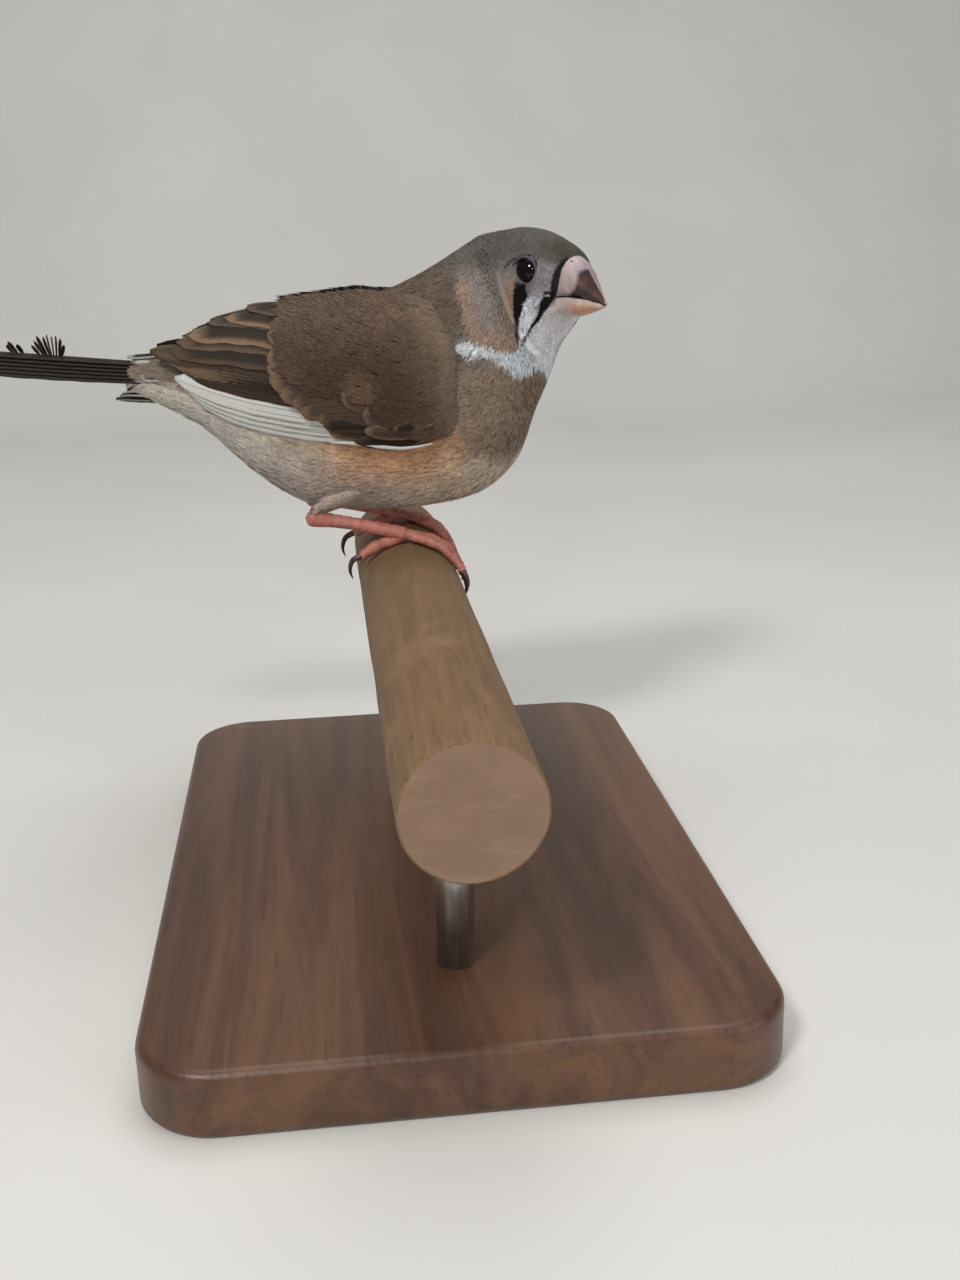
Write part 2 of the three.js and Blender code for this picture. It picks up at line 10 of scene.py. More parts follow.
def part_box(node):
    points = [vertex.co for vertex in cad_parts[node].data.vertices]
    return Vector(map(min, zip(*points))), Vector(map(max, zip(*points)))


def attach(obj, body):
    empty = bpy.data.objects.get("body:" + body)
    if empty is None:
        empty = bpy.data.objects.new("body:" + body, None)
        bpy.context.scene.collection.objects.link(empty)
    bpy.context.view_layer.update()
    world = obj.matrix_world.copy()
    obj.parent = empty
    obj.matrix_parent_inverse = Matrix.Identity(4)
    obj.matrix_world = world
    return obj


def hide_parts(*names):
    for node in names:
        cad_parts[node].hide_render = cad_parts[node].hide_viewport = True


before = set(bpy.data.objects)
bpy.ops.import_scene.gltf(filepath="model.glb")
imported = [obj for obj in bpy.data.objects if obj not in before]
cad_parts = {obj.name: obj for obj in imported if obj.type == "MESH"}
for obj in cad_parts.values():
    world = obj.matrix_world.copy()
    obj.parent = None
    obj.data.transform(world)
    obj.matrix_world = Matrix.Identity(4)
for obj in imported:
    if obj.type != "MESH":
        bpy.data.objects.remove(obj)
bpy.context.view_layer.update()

# Places are in millimetres from the bird's own origin, on the perch's axis under the bird:
# +X is the way the bird faces, +Y its left, +Z up. place() turns them into metres in the frame.
BIRD_AT = np.array([0.0, 32.0, 37.5])
MM = 0.001
ROOT = "root"
draws = np.random.default_rng(11)


def place(points):
    return (np.asarray(points, float) + BIRD_AT) * MM


# Camera

CAMERA_AT = (-12.46, -209.98, 54.11)
CAMERA_RIGHT, CAMERA_UP = (0.99264, -0.11880, -0.02336), (0.05709, 0.28910, 0.95560)
LENS, SENSOR_WIDTH = 38.9, 36.0


def make_camera():
    right, up = Vector(CAMERA_RIGHT), Vector(CAMERA_UP)
    turned = Matrix((right, up, right.cross(up))).transposed().to_4x4()
    data = bpy.data.cameras.new("camera")
    data.lens = LENS
    data.sensor_width = SENSOR_WIDTH
    data.clip_start = 0.01
    data.clip_end = 20.0
    camera = bpy.data.objects.new("camera", data)
    camera.matrix_world = Matrix.Translation(place(CAMERA_AT)) @ turned
    bpy.context.scene.collection.objects.link(camera)
    bpy.context.scene.camera = camera


make_camera()


# Numbers and curves

def keyed(keys):
    """A function that runs smoothly through [at, value] pairs in rising order."""
    at = np.array([k[0] for k in keys], float)
    value = np.array([k[1] for k in keys], float)
    slope = np.empty_like(value)
    slope[1:-1] = (value[2:] - value[:-2]) / (at[2:] - at[:-2])
    slope[0] = (value[1] - value[0]) / (at[1] - at[0])
    slope[-1] = (value[-1] - value[-2]) / (at[-1] - at[-2])

    def read(x):
        x = np.clip(np.asarray(x, float), at[0], at[-1])
        i = np.clip(np.searchsorted(at, x, side="right") - 1, 0, len(at) - 2)
        span = at[i + 1] - at[i]
        t = (x - at[i]) / span
        return hermite(t, value[i], slope[i] * span, value[i + 1], slope[i + 1] * span)

    return read


def hermite(t, p, m, q, n):
    t2 = t * t
    t3 = t2 * t
    return (2 * t3 - 3 * t2 + 1) * p + (t3 - 2 * t2 + t) * m + (3 * t2 - 2 * t3) * q + (t3 - t2) * n


def through(values, u):
    """The smooth curve through rows of values, read at places counted in rows."""
    last = len(values) - 1
    u = np.clip(u, 0, last)
    i = np.minimum(u.astype(int), last - 1)
    t = (u - i)[..., None]
    ends = np.concatenate([2 * values[:1] - values[1:2], values, 2 * values[-1:] - values[-2:-1]])
    before, p, q, after = (ends[i + k] for k in range(4))
    return hermite(t, p, (q - before) / 2, q, (after - p) / 2)


def unit(v):
    return v / np.maximum(np.linalg.norm(v, axis=-1, keepdims=True), 1e-9)


def ease(low, high, x):
    """0 at low and 1 at high with a soft step between. low may be the larger of the two."""
    t = np.clip((x - low) / (high - low), 0, 1)
    return t * t * (3 - 2 * t)


def mid(a, b, t):
    return a + (b - a) * t


def fine_noise(points, size, seed=0):
    """Smooth noise from -1 to 1 at each point, with lumps of about that size in millimetres."""
    shift = Vector((seed * 17.3, seed * 5.1, -seed * 9.7))
    return np.array([noise.noise(Vector(p) / size + shift) for p in points.reshape(-1, 3)])


def paint(code):
    """A linear colour from a six-digit code."""
    parts = [int(code[i:i + 2], 16) / 255 for i in (0, 2, 4)]
    return np.array([c / 12.92 if c <= 0.04045 else ((c + 0.055) / 1.055) ** 2.4 for c in parts])


# Shaders

class Number:
    """A number on a shader socket, so that maths can be written as plain expressions."""

    def __init__(self, shader, socket):
        self.shader = shader
        self.socket = socket

    def maths(self, operation, *values):
        return self.shader.number("Math", {"operation": operation}, dict(enumerate(values)))

    def __add__(self, other):
        return self.maths("ADD", self, other)

    def __radd__(self, other):
        return self.maths("ADD", other, self)

    def __sub__(self, other):
        return self.maths("SUBTRACT", self, other)

    def __rsub__(self, other):
        return self.maths("SUBTRACT", other, self)

    def __mul__(self, other):
        return self.maths("MULTIPLY", self, other)

    def __rmul__(self, other):
        return self.maths("MULTIPLY", other, self)

    def size(self):
        return self.maths("ABSOLUTE", self)

    def wave(self):
        return self.maths("SINE", self)

    def eased(self, low, high):
        sockets = {"Value": self, "From Min": low, "From Max": high}
        return self.shader.number("MapRange", {"interpolation_type": "SMOOTHSTEP"}, sockets)


class Shader:
    """A procedural material. Noise scales count lumps per metre, and bump distances are metres."""

    def __init__(self, name):
        self.material = bpy.data.materials.new(name)
        self.material.use_nodes = True
        self.tree = self.material.node_tree
        self.tree.nodes.clear()

    def feed(self, socket, value):
        if isinstance(value, Number):
            self.tree.links.new(value.socket, socket)
        elif isinstance(value, bpy.types.NodeSocket):
            self.tree.links.new(value, socket)
        else:
            socket.default_value = value

    def node(self, kind, settings=None, sockets=None):
        made = self.tree.nodes.new("ShaderNode" + kind)
        for key, value in (settings or {}).items():
            setattr(made, key, value)
        for key, value in (sockets or {}).items():
            self.feed(made.inputs[key], value)
        return made

    def number(self, kind, settings=None, sockets=None, output=0):
        return Number(self, self.node(kind, settings, sockets).outputs[output])

    def mix(self, share, first, second, way="MIX"):
        settings = {"data_type": "RGBA", "blend_type": way}
        return self.node("Mix", settings, {0: share, 6: first, 7: second}).outputs[2]

    def colour(self, code):
        return (*paint(code), 1.0)

    def scaled(self, colour, red, green, blue):
        """A colour made lighter or darker by a factor for each part."""
        return self.mix(1.0, colour, (red, green, blue, 1.0), "MULTIPLY")

    def here(self):
        return self.node("TexCoord").outputs["Object"]

    def stretched(self, scale):
        """Object places, drawn out along the axes by a scale for each."""
        return self.node("Mapping", {}, {"Vector": self.here(), "Scale": scale}).outputs[0]

    def noise(self, scale, detail=4.0, rough=0.55, where=None, distort=0.0):
        sockets = {"Scale": scale, "Detail": detail, "Roughness": rough, "Distortion": distort,
                   "Vector": where or self.here()}
        return self.number("TexNoise", {}, sockets)

    def tint(self, name="tint"):
        return self.node("Attribute", {"attribute_name": name}).outputs["Color"]

    def share(self, name):
        return self.number("Attribute", {"attribute_name": name}, output=2)

    def bump(self, height, strength, distance):
        sockets = {"Height": height, "Strength": strength, "Distance": distance}
        return self.node("Bump", {}, sockets).outputs[0]

    def surface(self, sockets):
        body = self.node("BsdfPrincipled", {}, sockets)
        self.node("OutputMaterial", {}, {"Surface": body.outputs[0]})
        return self.material


def plumage_material():
    """Soft body feathers: the piece's own colours with fine grain and broad lighter clouds."""
    s = Shader("plumage")
    grain = s.noise(2600.0, 3.0, 0.6)
    broad = s.noise(420.0, 3.0, 0.5)
    toned = s.mix(grain.eased(0.3, 0.7), s.tint(), s.scaled(s.tint(), 0.72, 0.70, 0.68))
    lit = s.mix(broad.eased(0.45, 0.75), toned, s.scaled(toned, 1.18, 1.17, 1.16))
    return s.surface({
        "Base Color": lit,
        "Roughness": 0.78 + 0.18 * grain,
        "Sheen Weight": 0.08,
        "Sheen Roughness": 0.5,
        "Specular IOR Level": 0.18,
        "Normal": s.bump(grain, 0.35, 0.00025),
    })


def vane_material():
    """Feather vanes: fine barbs slant from the shaft, the centre is darker and the rim paler."""
    s = Shader("vanes")
    parts = s.node("SeparateXYZ", {}, {"Vector": s.node("UVMap", {"uv_map": "vane"}).outputs[0]})
    run = Number(s, parts.outputs[0])
    off = (Number(s, parts.outputs[1]) - 0.5).size() * 2.0
    barbs = ((run - off * 0.16) * 330.0).wave()
    grain = s.noise(1500.0, 3.0, 0.6)
    shaft = 1.0 - off.eased(0.03, 0.09)
    rim = s.share("rim_share") * (off + (grain - 0.5) * 0.3).eased(0.5, 1.0)
    end = s.share("rim_share") * (run + (grain - 0.5) * 0.08).eased(0.84, 0.98)
    both = rim.maths("MAXIMUM", rim, end)
    dusk = 0.5 * (1.0 - off.eased(0.1, 0.75)) * s.share("dusk_share")
    dark = s.mix(dusk, s.tint(), s.mix(0.75, s.tint(), s.colour("1c1410")))
    rimmed = s.mix(both, dark, s.tint("rim"))
    lined = s.mix(0.30 * barbs.eased(-0.2, 1.0), rimmed, s.mix(1.0, rimmed, rimmed, "MULTIPLY"))
    quilled = s.mix(shaft * 0.6, lined, s.mix(0.6, lined, s.colour("17100c")))
    height = barbs * 0.35 + shaft * 1.6 + grain * 0.6
    return s.surface({
        "Base Color": quilled,
        "Roughness": 0.58 + 0.18 * grain,
        "Sheen Weight": 0.05,
        "Specular IOR Level": 0.2,
        "Normal": s.bump(height, 0.3, 0.00015),
    })


def bill_material():
    """Horn of the bill: long streaks and a few darker, redder clouds over its colours."""
    s = Shader("bill")
    streaks = s.noise(900.0, 4.0, 0.6, s.stretched((1.0, 1.0, 0.35)))
    cloud = s.noise(260.0, 2.0, 0.5)
    toned = s.mix(streaks.eased(0.4, 0.7), s.tint(), s.scaled(s.tint(), 1.22, 1.18, 1.16))
    aged = s.mix(0.6 * cloud.eased(0.5, 0.7), toned, s.scaled(toned, 0.82, 0.72, 0.68))
    return s.surface({
        "Base Color": aged,
        "Roughness": 0.36 + 0.2 * streaks,
        "Subsurface Weight": 0.08,
        "Subsurface Radius": (0.0008, 0.0004, 0.0003),
        "Specular IOR Level": 0.3,
        "Coat Weight": 0.04,
        "Coat Roughness": 0.3,
        "Normal": s.bump(streaks + cloud * 0.5, 0.25, 0.00015),
    })


def eye_material():
    """Wet, nearly black eye."""
    s = Shader("eye")
    cloud = s.noise(500.0, 2.0, 0.5)
    colour = s.mix(cloud.eased(0.3, 0.7), s.colour("050507"), s.colour("0d0a0c"))
    return s.surface({
        "Base Color": colour,
        "Roughness": 0.03 + 0.03 * cloud,
        "Specular IOR Level": 0.22,
        "Coat Weight": 0.16,
        "Coat Roughness": 0.02,
    })


def scale_material(name, dark):
    """Horny skin of the legs and eye rims: small plates with joints of the dark colour."""
    s = Shader(name)
    sockets = {"Scale": 1700.0, "Vector": s.here(), "Randomness": 0.8}
    plates = s.number("TexVoronoi", {"feature": "DISTANCE_TO_EDGE"}, sockets)
    joints = 1.0 - plates.eased(0.0, 0.16)
    cloud = s.noise(600.0, 3.0, 0.55)
    toned = s.mix(cloud.eased(0.4, 0.7), s.tint(), s.scaled(s.tint(), 1.25, 1.22, 1.2))
    jointed = s.mix(0.2 * joints, toned, s.mix(0.8, toned, s.colour(dark), "MULTIPLY"))
    return s.surface({
        "Base Color": jointed,
        "Roughness": 0.4 + 0.2 * cloud,
        "Subsurface Weight": 0.1,
        "Subsurface Radius": (0.0010, 0.0004, 0.0002),
        "Normal": s.bump(plates.eased(0.0, 0.2) * 0.5 + cloud * 0.4, 0.3, 0.00015),
    })


def claw_material():
    """Dark horn with paler streaks."""
    s = Shader("claws")
    streaks = s.noise(1500.0, 3.0, 0.6)
    toned = s.mix(0.5 * streaks.eased(0.4, 0.7), s.tint(), s.colour("7a5242"))
    return s.surface({
        "Base Color": toned,
        "Roughness": 0.28 + 0.2 * streaks,
        "Coat Weight": 0.3,
        "Normal": s.bump(streaks, 0.3, 0.0001),
    })


def perch_material():
    """Worn round wood: grain along it, a greenish stain where the bird sits, scuffs and specks."""
    s = Shader("perch_wood")
    parts = s.node("SeparateXYZ", {}, {"Vector": s.here()})
    along = Number(s, parts.outputs[1])
    grain = s.noise(520.0, 6.0, 0.65, s.stretched((1.0, 0.10, 1.0)), 0.6)
    fibres = s.noise(1900.0, 4.0, 0.6, s.stretched((1.0, 0.08, 1.0)))
    patches = s.noise(95.0, 4.0, 0.6)
    specks = s.noise(900.0, 2.0, 0.5)
    wood = s.mix(grain.eased(0.32, 0.68), s.colour("755a3e"), s.colour("8a6b4c"))
    fibred = s.mix(0.35 * fibres.eased(0.5, 0.75), wood, s.colour("4d3827"))
    stain = (along + (patches - 0.5) * 0.03).eased(-0.030, 0.004)
    stained = s.mix(stain * patches.eased(0.38, 0.62) * 0.75, fibred, s.colour("75603f"))
    scuffed = s.mix(0.5 * patches.eased(0.58, 0.7), stained, s.colour("937457"))
    specked = s.mix(0.6 * specks.eased(0.68, 0.76), scuffed, s.colour("33241a"))
    return s.surface({
        "Base Color": specked,
        "Roughness": 0.6 + 0.25 * grain,
        "Specular IOR Level": 0.35,
        "Normal": s.bump(grain + fibres * 0.6 + patches, 0.5, 0.0004),
    })


def cut_wood_material():
    """The sawn end of the perch: pale, with faint rings, saw marks and one crescent line."""
    s = Shader("cut_wood")
    centre = s.node("Mapping", {}, {"Vector": s.here(), "Location": (0.0016, 0.0, -0.0362)}).outputs[0]
    away = s.number("VectorMath", {"operation": "LENGTH"}, {0: centre}, output=1)
    wobble = s.noise(160.0, 3.0, 0.5)
    rings = ((away * 1000.0 + wobble * 1.6) * 5.0).wave()
    saw = s.noise(1100.0, 3.0, 0.6, s.stretched((0.2, 1.0, 1.0)))
    base = s.mix(0.30 * rings.eased(-0.3, 1.0), s.colour("8e725c"), s.colour("7b5f4a"))
    marked = s.mix(0.3 * saw.eased(0.5, 0.7), base, s.colour("a48974"))
    worn = s.mix(0.5 * wobble.eased(0.5, 0.7), marked, s.colour("80664f"))
    crescent = 1.0 - ((away * 1000.0 - 4.6 + wobble * 0.5).size()).eased(0.05, 0.22)
    lined = s.mix(0.35 * crescent, worn, s.colour("574030"))
    return s.surface({
        "Base Color": lined,
        "Roughness": 0.75 + 0.15 * saw,
        "Normal": s.bump(saw + rings * 0.2, 0.35, 0.0003),
    })


def stand_wood_material():
    """Dark polished board: grain along it and open pores."""
    s = Shader("stand_wood")
    grain = s.noise(120.0, 6.0, 0.62, s.stretched((1.0, 0.07, 1.0)), 1.2)
    pores = s.noise(1500.0, 3.0, 0.6, s.stretched((1.0, 0.06, 1.0)))
    wood = s.mix(grain.eased(0.3, 0.7), s.colour("4a2f1f"), s.colour("6e4a32"))
    pored = s.mix(0.5 * pores.eased(0.56, 0.72), wood, s.colour("2a1a11"))
    return s.surface({
        "Base Color": pored,
        "Roughness": 0.36 + 0.16 * grain,
        "Coat Weight": 0.18,
        "Coat Roughness": 0.3,
        "Normal": s.bump(grain * 0.4 + pores, 0.18, 0.0003),
    })


def steel_material():
    """Round rods brushed along their length."""
    s = Shader("brushed_steel")
    brushed = s.noise(2600.0, 3.0, 0.6, s.stretched((1.0, 1.0, 0.04)))
    colour = s.mix(brushed.eased(0.3, 0.7), s.colour("a9a9a7"), s.colour("c9c9c6"))
    return s.surface({
        "Base Color": colour,
        "Metallic": 1.0,
        "Roughness": 0.24 + 0.18 * brushed,
        "Normal": s.bump(brushed, 0.2, 0.00008),
    })


def floor_material():
    """Pale studio floor with soft clouds."""
    s = Shader("floor")
    soft = s.noise(7.0, 3.0, 0.5)
    colour = s.mix(soft.eased(0.3, 0.7), s.colour("dcdad5"), s.colour("e3e1dc"))
    return s.surface({"Base Color": colour, "Roughness": 0.75 + 0.1 * soft})


# Shapes

def new_object(mesh, material=None):
    made = bpy.data.objects.new(mesh.name, mesh)
    bpy.context.scene.collection.objects.link(made)
    if material:
        mesh.materials.append(material)
    mesh.polygons.foreach_set("use_smooth", [True] * len(mesh.polygons))
    return made


def finish_piece(mesh, material, nodes=()):
    """A piece of the model from a mesh in its place. It stands for the solids named in nodes."""
    piece = new_object(mesh, material)
    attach(piece, ROOT)
    if nodes:
        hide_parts(*nodes)


def to_mesh(bm, name):
    mesh = bpy.data.meshes.new(name)
    bm.to_mesh(mesh)
    bm.free()
    return mesh


def colour_points(mesh, colours, name="tint"):
    """Give the mesh's points a colour each, or all of them one colour."""
    layer = mesh.attributes.new(name, "FLOAT_COLOR", "POINT")
    full = np.ones((len(mesh.vertices), 4), np.float32)
    full[:, :3] = colours
    layer.data.foreach_set("color", full.ravel())


def share_points(mesh, values, name):
    layer = mesh.attributes.new(name, "FLOAT", "POINT")
    layer.data.foreach_set("value", np.asarray(values, np.float32).ravel())


def mirror_mesh(mesh):
    """Turn a piece of the left side into its twin on the right."""
    middle = BIRD_AT[1] * MM
    mesh.transform(Matrix.Translation((0, middle, 0)) @ Matrix.Scale(-1, 4, (0, 1, 0))
                   @ Matrix.Translation((0, -middle, 0)))
    mesh.flip_normals()


def points_of(mesh):
    """The mesh's points in millimetres from the bird's own origin."""
    co = np.empty(len(mesh.vertices) * 3, np.float32)
    mesh.vertices.foreach_get("co", co)
    return co.reshape(-1, 3) / MM - BIRD_AT


def sheet(bm, point, runs, turns, unwrapped=False):
    """A grid with its points at point(s, turn), for s and turn from 0 to 1."""
    made = bmesh.ops.create_grid(bm, x_segments=runs, y_segments=turns, size=0.5, calc_uvs=unwrapped)
    flat = np.array([v.co[:] for v in made["verts"]]) + 0.5
    for vert, spot in zip(made["verts"], place(point(flat[:, 0], flat[:, 1]))):
        vert.co = spot
    return made["verts"]


def wrap(bm, point, runs, turns):
    """A closed tube from a sheet, sealed at both ends."""
    made = sheet(bm, point, runs, turns)
    bmesh.ops.remove_doubles(bm, verts=made, dist=1e-6)
    edges = [e for e in bm.edges if e.is_boundary]
    bmesh.ops.holes_fill(bm, edges=edges, sides=0)
    bmesh.ops.recalc_face_normals(bm, faces=bm.faces)


class Form:
    """A rounded form through rings, each with a top, a lowest point, a half width and a level."""

    def __init__(self, top, low, half, level, side, fullness=2.15):
        self.top = np.array(top, float)
        self.low = np.array(low, float)
        self.half = np.array(half, float)[:, None]
        self.level = np.array(level, float)[:, None]
        self.side = np.array(side, float)
        self.power = 2 / fullness
        self.last = len(self.top) - 1

    def point(self, u, a, grow=0.0):
        """Places at ring u and angle a, where 90 degrees is the top, moved outward by grow."""
        top = through(self.top, u)
        low = through(self.low, u)
        side = unit(through(self.side, u))
        middle = low + (top - low) * through(self.level, u)
        c, s = np.cos(a), np.sin(a)
        c = (np.sign(c) * np.abs(c) ** self.power)[..., None]
        s = (np.sign(s) * np.abs(s) ** self.power)[..., None]
        up = np.where(s > 0, top - middle, middle - low)
        reach = np.linalg.norm(up, axis=-1, keepdims=True)
        up = up * (1 + grow / np.maximum(reach, 1e-6))
        return middle + side * (through(self.half, u) + grow) * c + up * s


def lie(form, u, a):
    """Place, way back, way across, outward way and speeds of a form's surface."""
    d = 2e-3
    here = form.point(u, a)
    back = form.point(u - d, a) - form.point(u + d, a)
    across = form.point(u, a + d) - form.point(u, a - d)
    run = np.linalg.norm(back, axis=-1) / (2 * d)
    turn = np.linalg.norm(across, axis=-1) / (2 * d)
    back, across = unit(back), unit(across)
    return here, back, across, unit(np.cross(back, across)), run, turn


# The head's own frame: x towards the bill, y to the left, z up, from midway between the eyes
HEAD_AT = np.array([23.35, -0.3, 45.75])
HEAD_YAW, HEAD_PITCH, HEAD_ROLL = -54.0, 7.0, -6.0
HEAD_TURN = np.array(
    Matrix.Rotation(math.radians(HEAD_YAW), 3, "Z")
    @ Matrix.Rotation(math.radians(HEAD_PITCH), 3, "Y")
    @ Matrix.Rotation(math.radians(HEAD_ROLL), 3, "X"))
HEAD_MATRIX = Matrix(HEAD_TURN.tolist()).to_4x4()
HEAD_SIDE = HEAD_TURN @ np.array([0.0, 1.0, 0.0])


def in_head(x, y, z):
    return HEAD_AT + np.stack(np.broadcast_arrays(x, y, z), -1).astype(float) @ HEAD_TURN.T


def from_head(points):
    return (points - HEAD_AT) @ HEAD_TURN


def eye_gap(q):
    """How far places in the head's frame lie from the eye's centre, seen from the side."""
    return np.hypot(q[:, 0] - EYE_AT[0], q[:, 2] - EYE_AT[2])


# The body's rings, from the tail's root to the base of the bill, as the solids have them
TRUNK = [
    ((-39.5, 0, 34.6), (-40, 0, 30.9), 3.2, 0.5, 0),
    ((-34, 0, 35.7), (-35, 0, 28.4), 4.8, 0.5, 0),
    ((-28, 0, 37.0), (-29, 0, 24.8), 7.2, 0.52, 0),
    ((-20.5, 0, 38.8), (-22.5, 0, 18.4), 10.1, 0.54, 0),
    ((-12, 0, 40.8), (-15, 0, 13.3), 12.5, 0.54, 0),
    ((-5, 0, 42.6), (-6, 0, 11.9), 13.9, 0.52, 0),
    ((0.5, 0, 44.6), (3.5, 0, 11.9), 14.0, 0.5, 0),
    ((4.8, 0.3, 46.6), (11.5, 0, 13.6), 13.7, 0.47, 0),
    ((8.0, 1.0, 48.4), (17.2, 0, 18.2), 12.7, 0.45, -2),
    ((11.1, 2.2, 50.2), (20.3, -0.2, 25.2), 11.6, 0.44, -8),
    ((13.5, 3.3, 51.3), (22.7, -0.5, 31.0), 10.3, 0.44, -20),
]
# The head's rings: top and low as x and z in its own frame, half width, level, and how far the
# ring has turned from the neck to the head
SKULL = [
    ((-8.7, 5.3), (1.5, -11.4), 9.0, 0.44, 0.55),
    ((-5.9, 5.75), (2.0, -9.5), 7.9, 0.42, 0.82),
    ((-2.85, 5.7), (2.7, -7.8), 6.8, 0.4, 1.0),
    ((0.5, 4.95), (3.5, -6.75), 6.0, 0.4, 1.0),
    ((3.5, 3.9), (4.25, -6.05), 4.9, 0.42, 1.0),
    ((5.0, 2.6), (4.6, -5.65), 3.65, 0.45, 1.0),
]
EYE_AT, EYE_RADIUS = (-0.1, 4.25, -0.25), 2.5
HEAD_START = 11
COAT_DEPTH = 0.55
EYE_OPENING = 2.45


def turned_side(degrees):
    return np.array([-math.sin(math.radians(degrees)), math.cos(math.radians(degrees)), 0.0])


def body_form():
    top = [r[0] for r in TRUNK] + [in_head(r[0][0], 0, r[0][1]) for r in SKULL]
    low = [r[1] for r in TRUNK] + [in_head(r[1][0], 0, r[1][1]) for r in SKULL]
    side = [turned_side(r[4]) for r in TRUNK]
    side += [turned_side(-20) * (1 - r[4]) + HEAD_SIDE * r[4] for r in SKULL]
    half = [r[2] for r in TRUNK + SKULL]
    level = [r[3] for r in TRUNK + SKULL]
    return Form(top, low, half, level, side)


# How far each leg stands to the side, by hand (1 left, -1 right), and the shank's ends as x and z
LEG_SIDE = {1: 7.2, -1: 8.0}
HEEL, FOOT = (-15.2, 12.1), (-0.7, 8.9)


def thigh_form(hand):
    y = hand * LEG_SIDE[hand]
    path = np.array([(-1, y * 0.78, 20), (-6, y * 0.83, 17.0), (-11, y * 0.94, 14.6), (-14.4, y, 13.0)])
    radius = np.array([4.6, 3.3, 1.9, 1.0])
    up = np.array([(0.5, 0, 0.86), (0.45, 0, 0.89), (0.4, 0, 0.92), (0.4, 0, 0.92)])
    return Form((path + up * radius[:, None])[::-1], (path - up * radius[:, None])[::-1],
                radius[::-1], [0.5] * 4, [(0, 1, 0)] * 4, 2.0)


BODY = body_form()
THIGHS = {hand: thigh_form(hand) for hand in (1, -1)}


# Colours of the pieces, and markings of the plumage. Stations u count the body's rings, and round
# or around is the angle in degrees from the top of the body to a point.
P = {name: paint(code) for name, code in {
    "crown": "625d58", "brow": "4a4840", "nape": "625f5a", "mantle": "655345", "rump": "7a6e63",
    "side_neck": "716f6b", "breast": "887665", "breast_pale": "d1bea9", "belly": "bfb3ab", "vent": "cec8bf",
    "flank": "cb9770", "throat": "ededee", "collar": "cdd4d8", "lores": "8f8a90",
    "black": "080909", "lip": "14100f", "white": "e5eaf5", "cheek": "8e837d", "buff": "a28064",
    "chin": "b9a39c", "wing": "554337", "wing_dark": "372b23", "wing_edge": "8f735a", "quill": "55463a",
    "pied": "dcdcd8", "tail": "191512", "bar": "c9c6c0", "bill_dark": "201413", "bill_pink": "a69598",
    "bill_glare": "b8a7a7", "bill_rust": "6b3a2b", "bill_orange": "c79579", "bill_flesh": "c4b4b1",
    "leg": "b87768", "leg_dark": "935146", "claw": "5b382d", "claw_tip": "1d1210",
}.items()}

# The cheek's lower edge as height z by the distance from a point beside the eye, the collar's as z
# by angle, and the pale belly's edge as an angle by station
CHEEK_LOW = keyed([[0, -10.3], [3, -10.7], [5.5, -11], [6.8, -11.2], [8, -10.8], [9.2, -10.6],
                   [10.5, -9.9], [10.9, -9.0]])
COLLAR_RIGHT = keyed([[66, -12.1], [75, -12.1], [84, -12.2], [91, -12.8], [100, -13.6], [109, -14.3],
                      [118, -14.7], [128, -14.4], [137, -13.8], [154, -13.6], [180, -15.3]])
COLLAR_LEFT = keyed([[60, -11.6], [90, -12.6], [120, -13.3], [150, -13.8], [180, -15.3]])
BREAST_LOW = keyed([[5.5, 102], [6, 107], [7, 118], [8, 145], [9, 176]])
# The face's lines lie where slant = 0.69 x - 0.72 y, by height z in the head's frame
TEAR_REAR = keyed([[-10.4, -4.1], [-9.87, -4.24], [-8.34, -4.64], [-6.52, -4.95], [-4.42, -5.28],
                   [-2.35, -5.48]])
TEAR_FRONT = keyed([[-10.4, -3.75], [-9.24, -3.95], [-7.82, -4.01], [-6.41, -3.94], [-4.95, -3.70],
                    [-3.57, -3.17], [-2.51, -3.78]])
LIP_REAR = keyed([[-9.81, -3.49], [-8.87, -2.70], [-7.36, -2.02], [-6.09, -1.44], [-4.55, -1.27],
                  [-3.79, -1.12], [-2.64, -0.99]])
LIP_FRONT = keyed([[-9.91, -2.75], [-8.24, -2.05], [-7.30, -1.4], [-6.32, -0.84], [-5.17, -0.28],
                   [-4.05, 0.34], [-3.0, 0.5]])
# The black line round the bill's base starts at these stations, by angle
BASE_LINE = keyed([[0, 15.84], [20, 15.78], [32, 15.62], [60, 15.44], [97, 15.4], [120, 15.7]])


def painted(colour, *layers):
    """A colour with others laid over it in turn, each given as a share and a name."""
    for share, name in layers:
        share = np.asarray(share)[..., None]
        colour = colour * (1 - share) + P[name] * share
    return colour


def round_of(a):
    """Degrees from the top of the body for an angle on a form."""
    return np.degrees(np.abs(np.arctan2(np.cos(a), np.sin(a))))


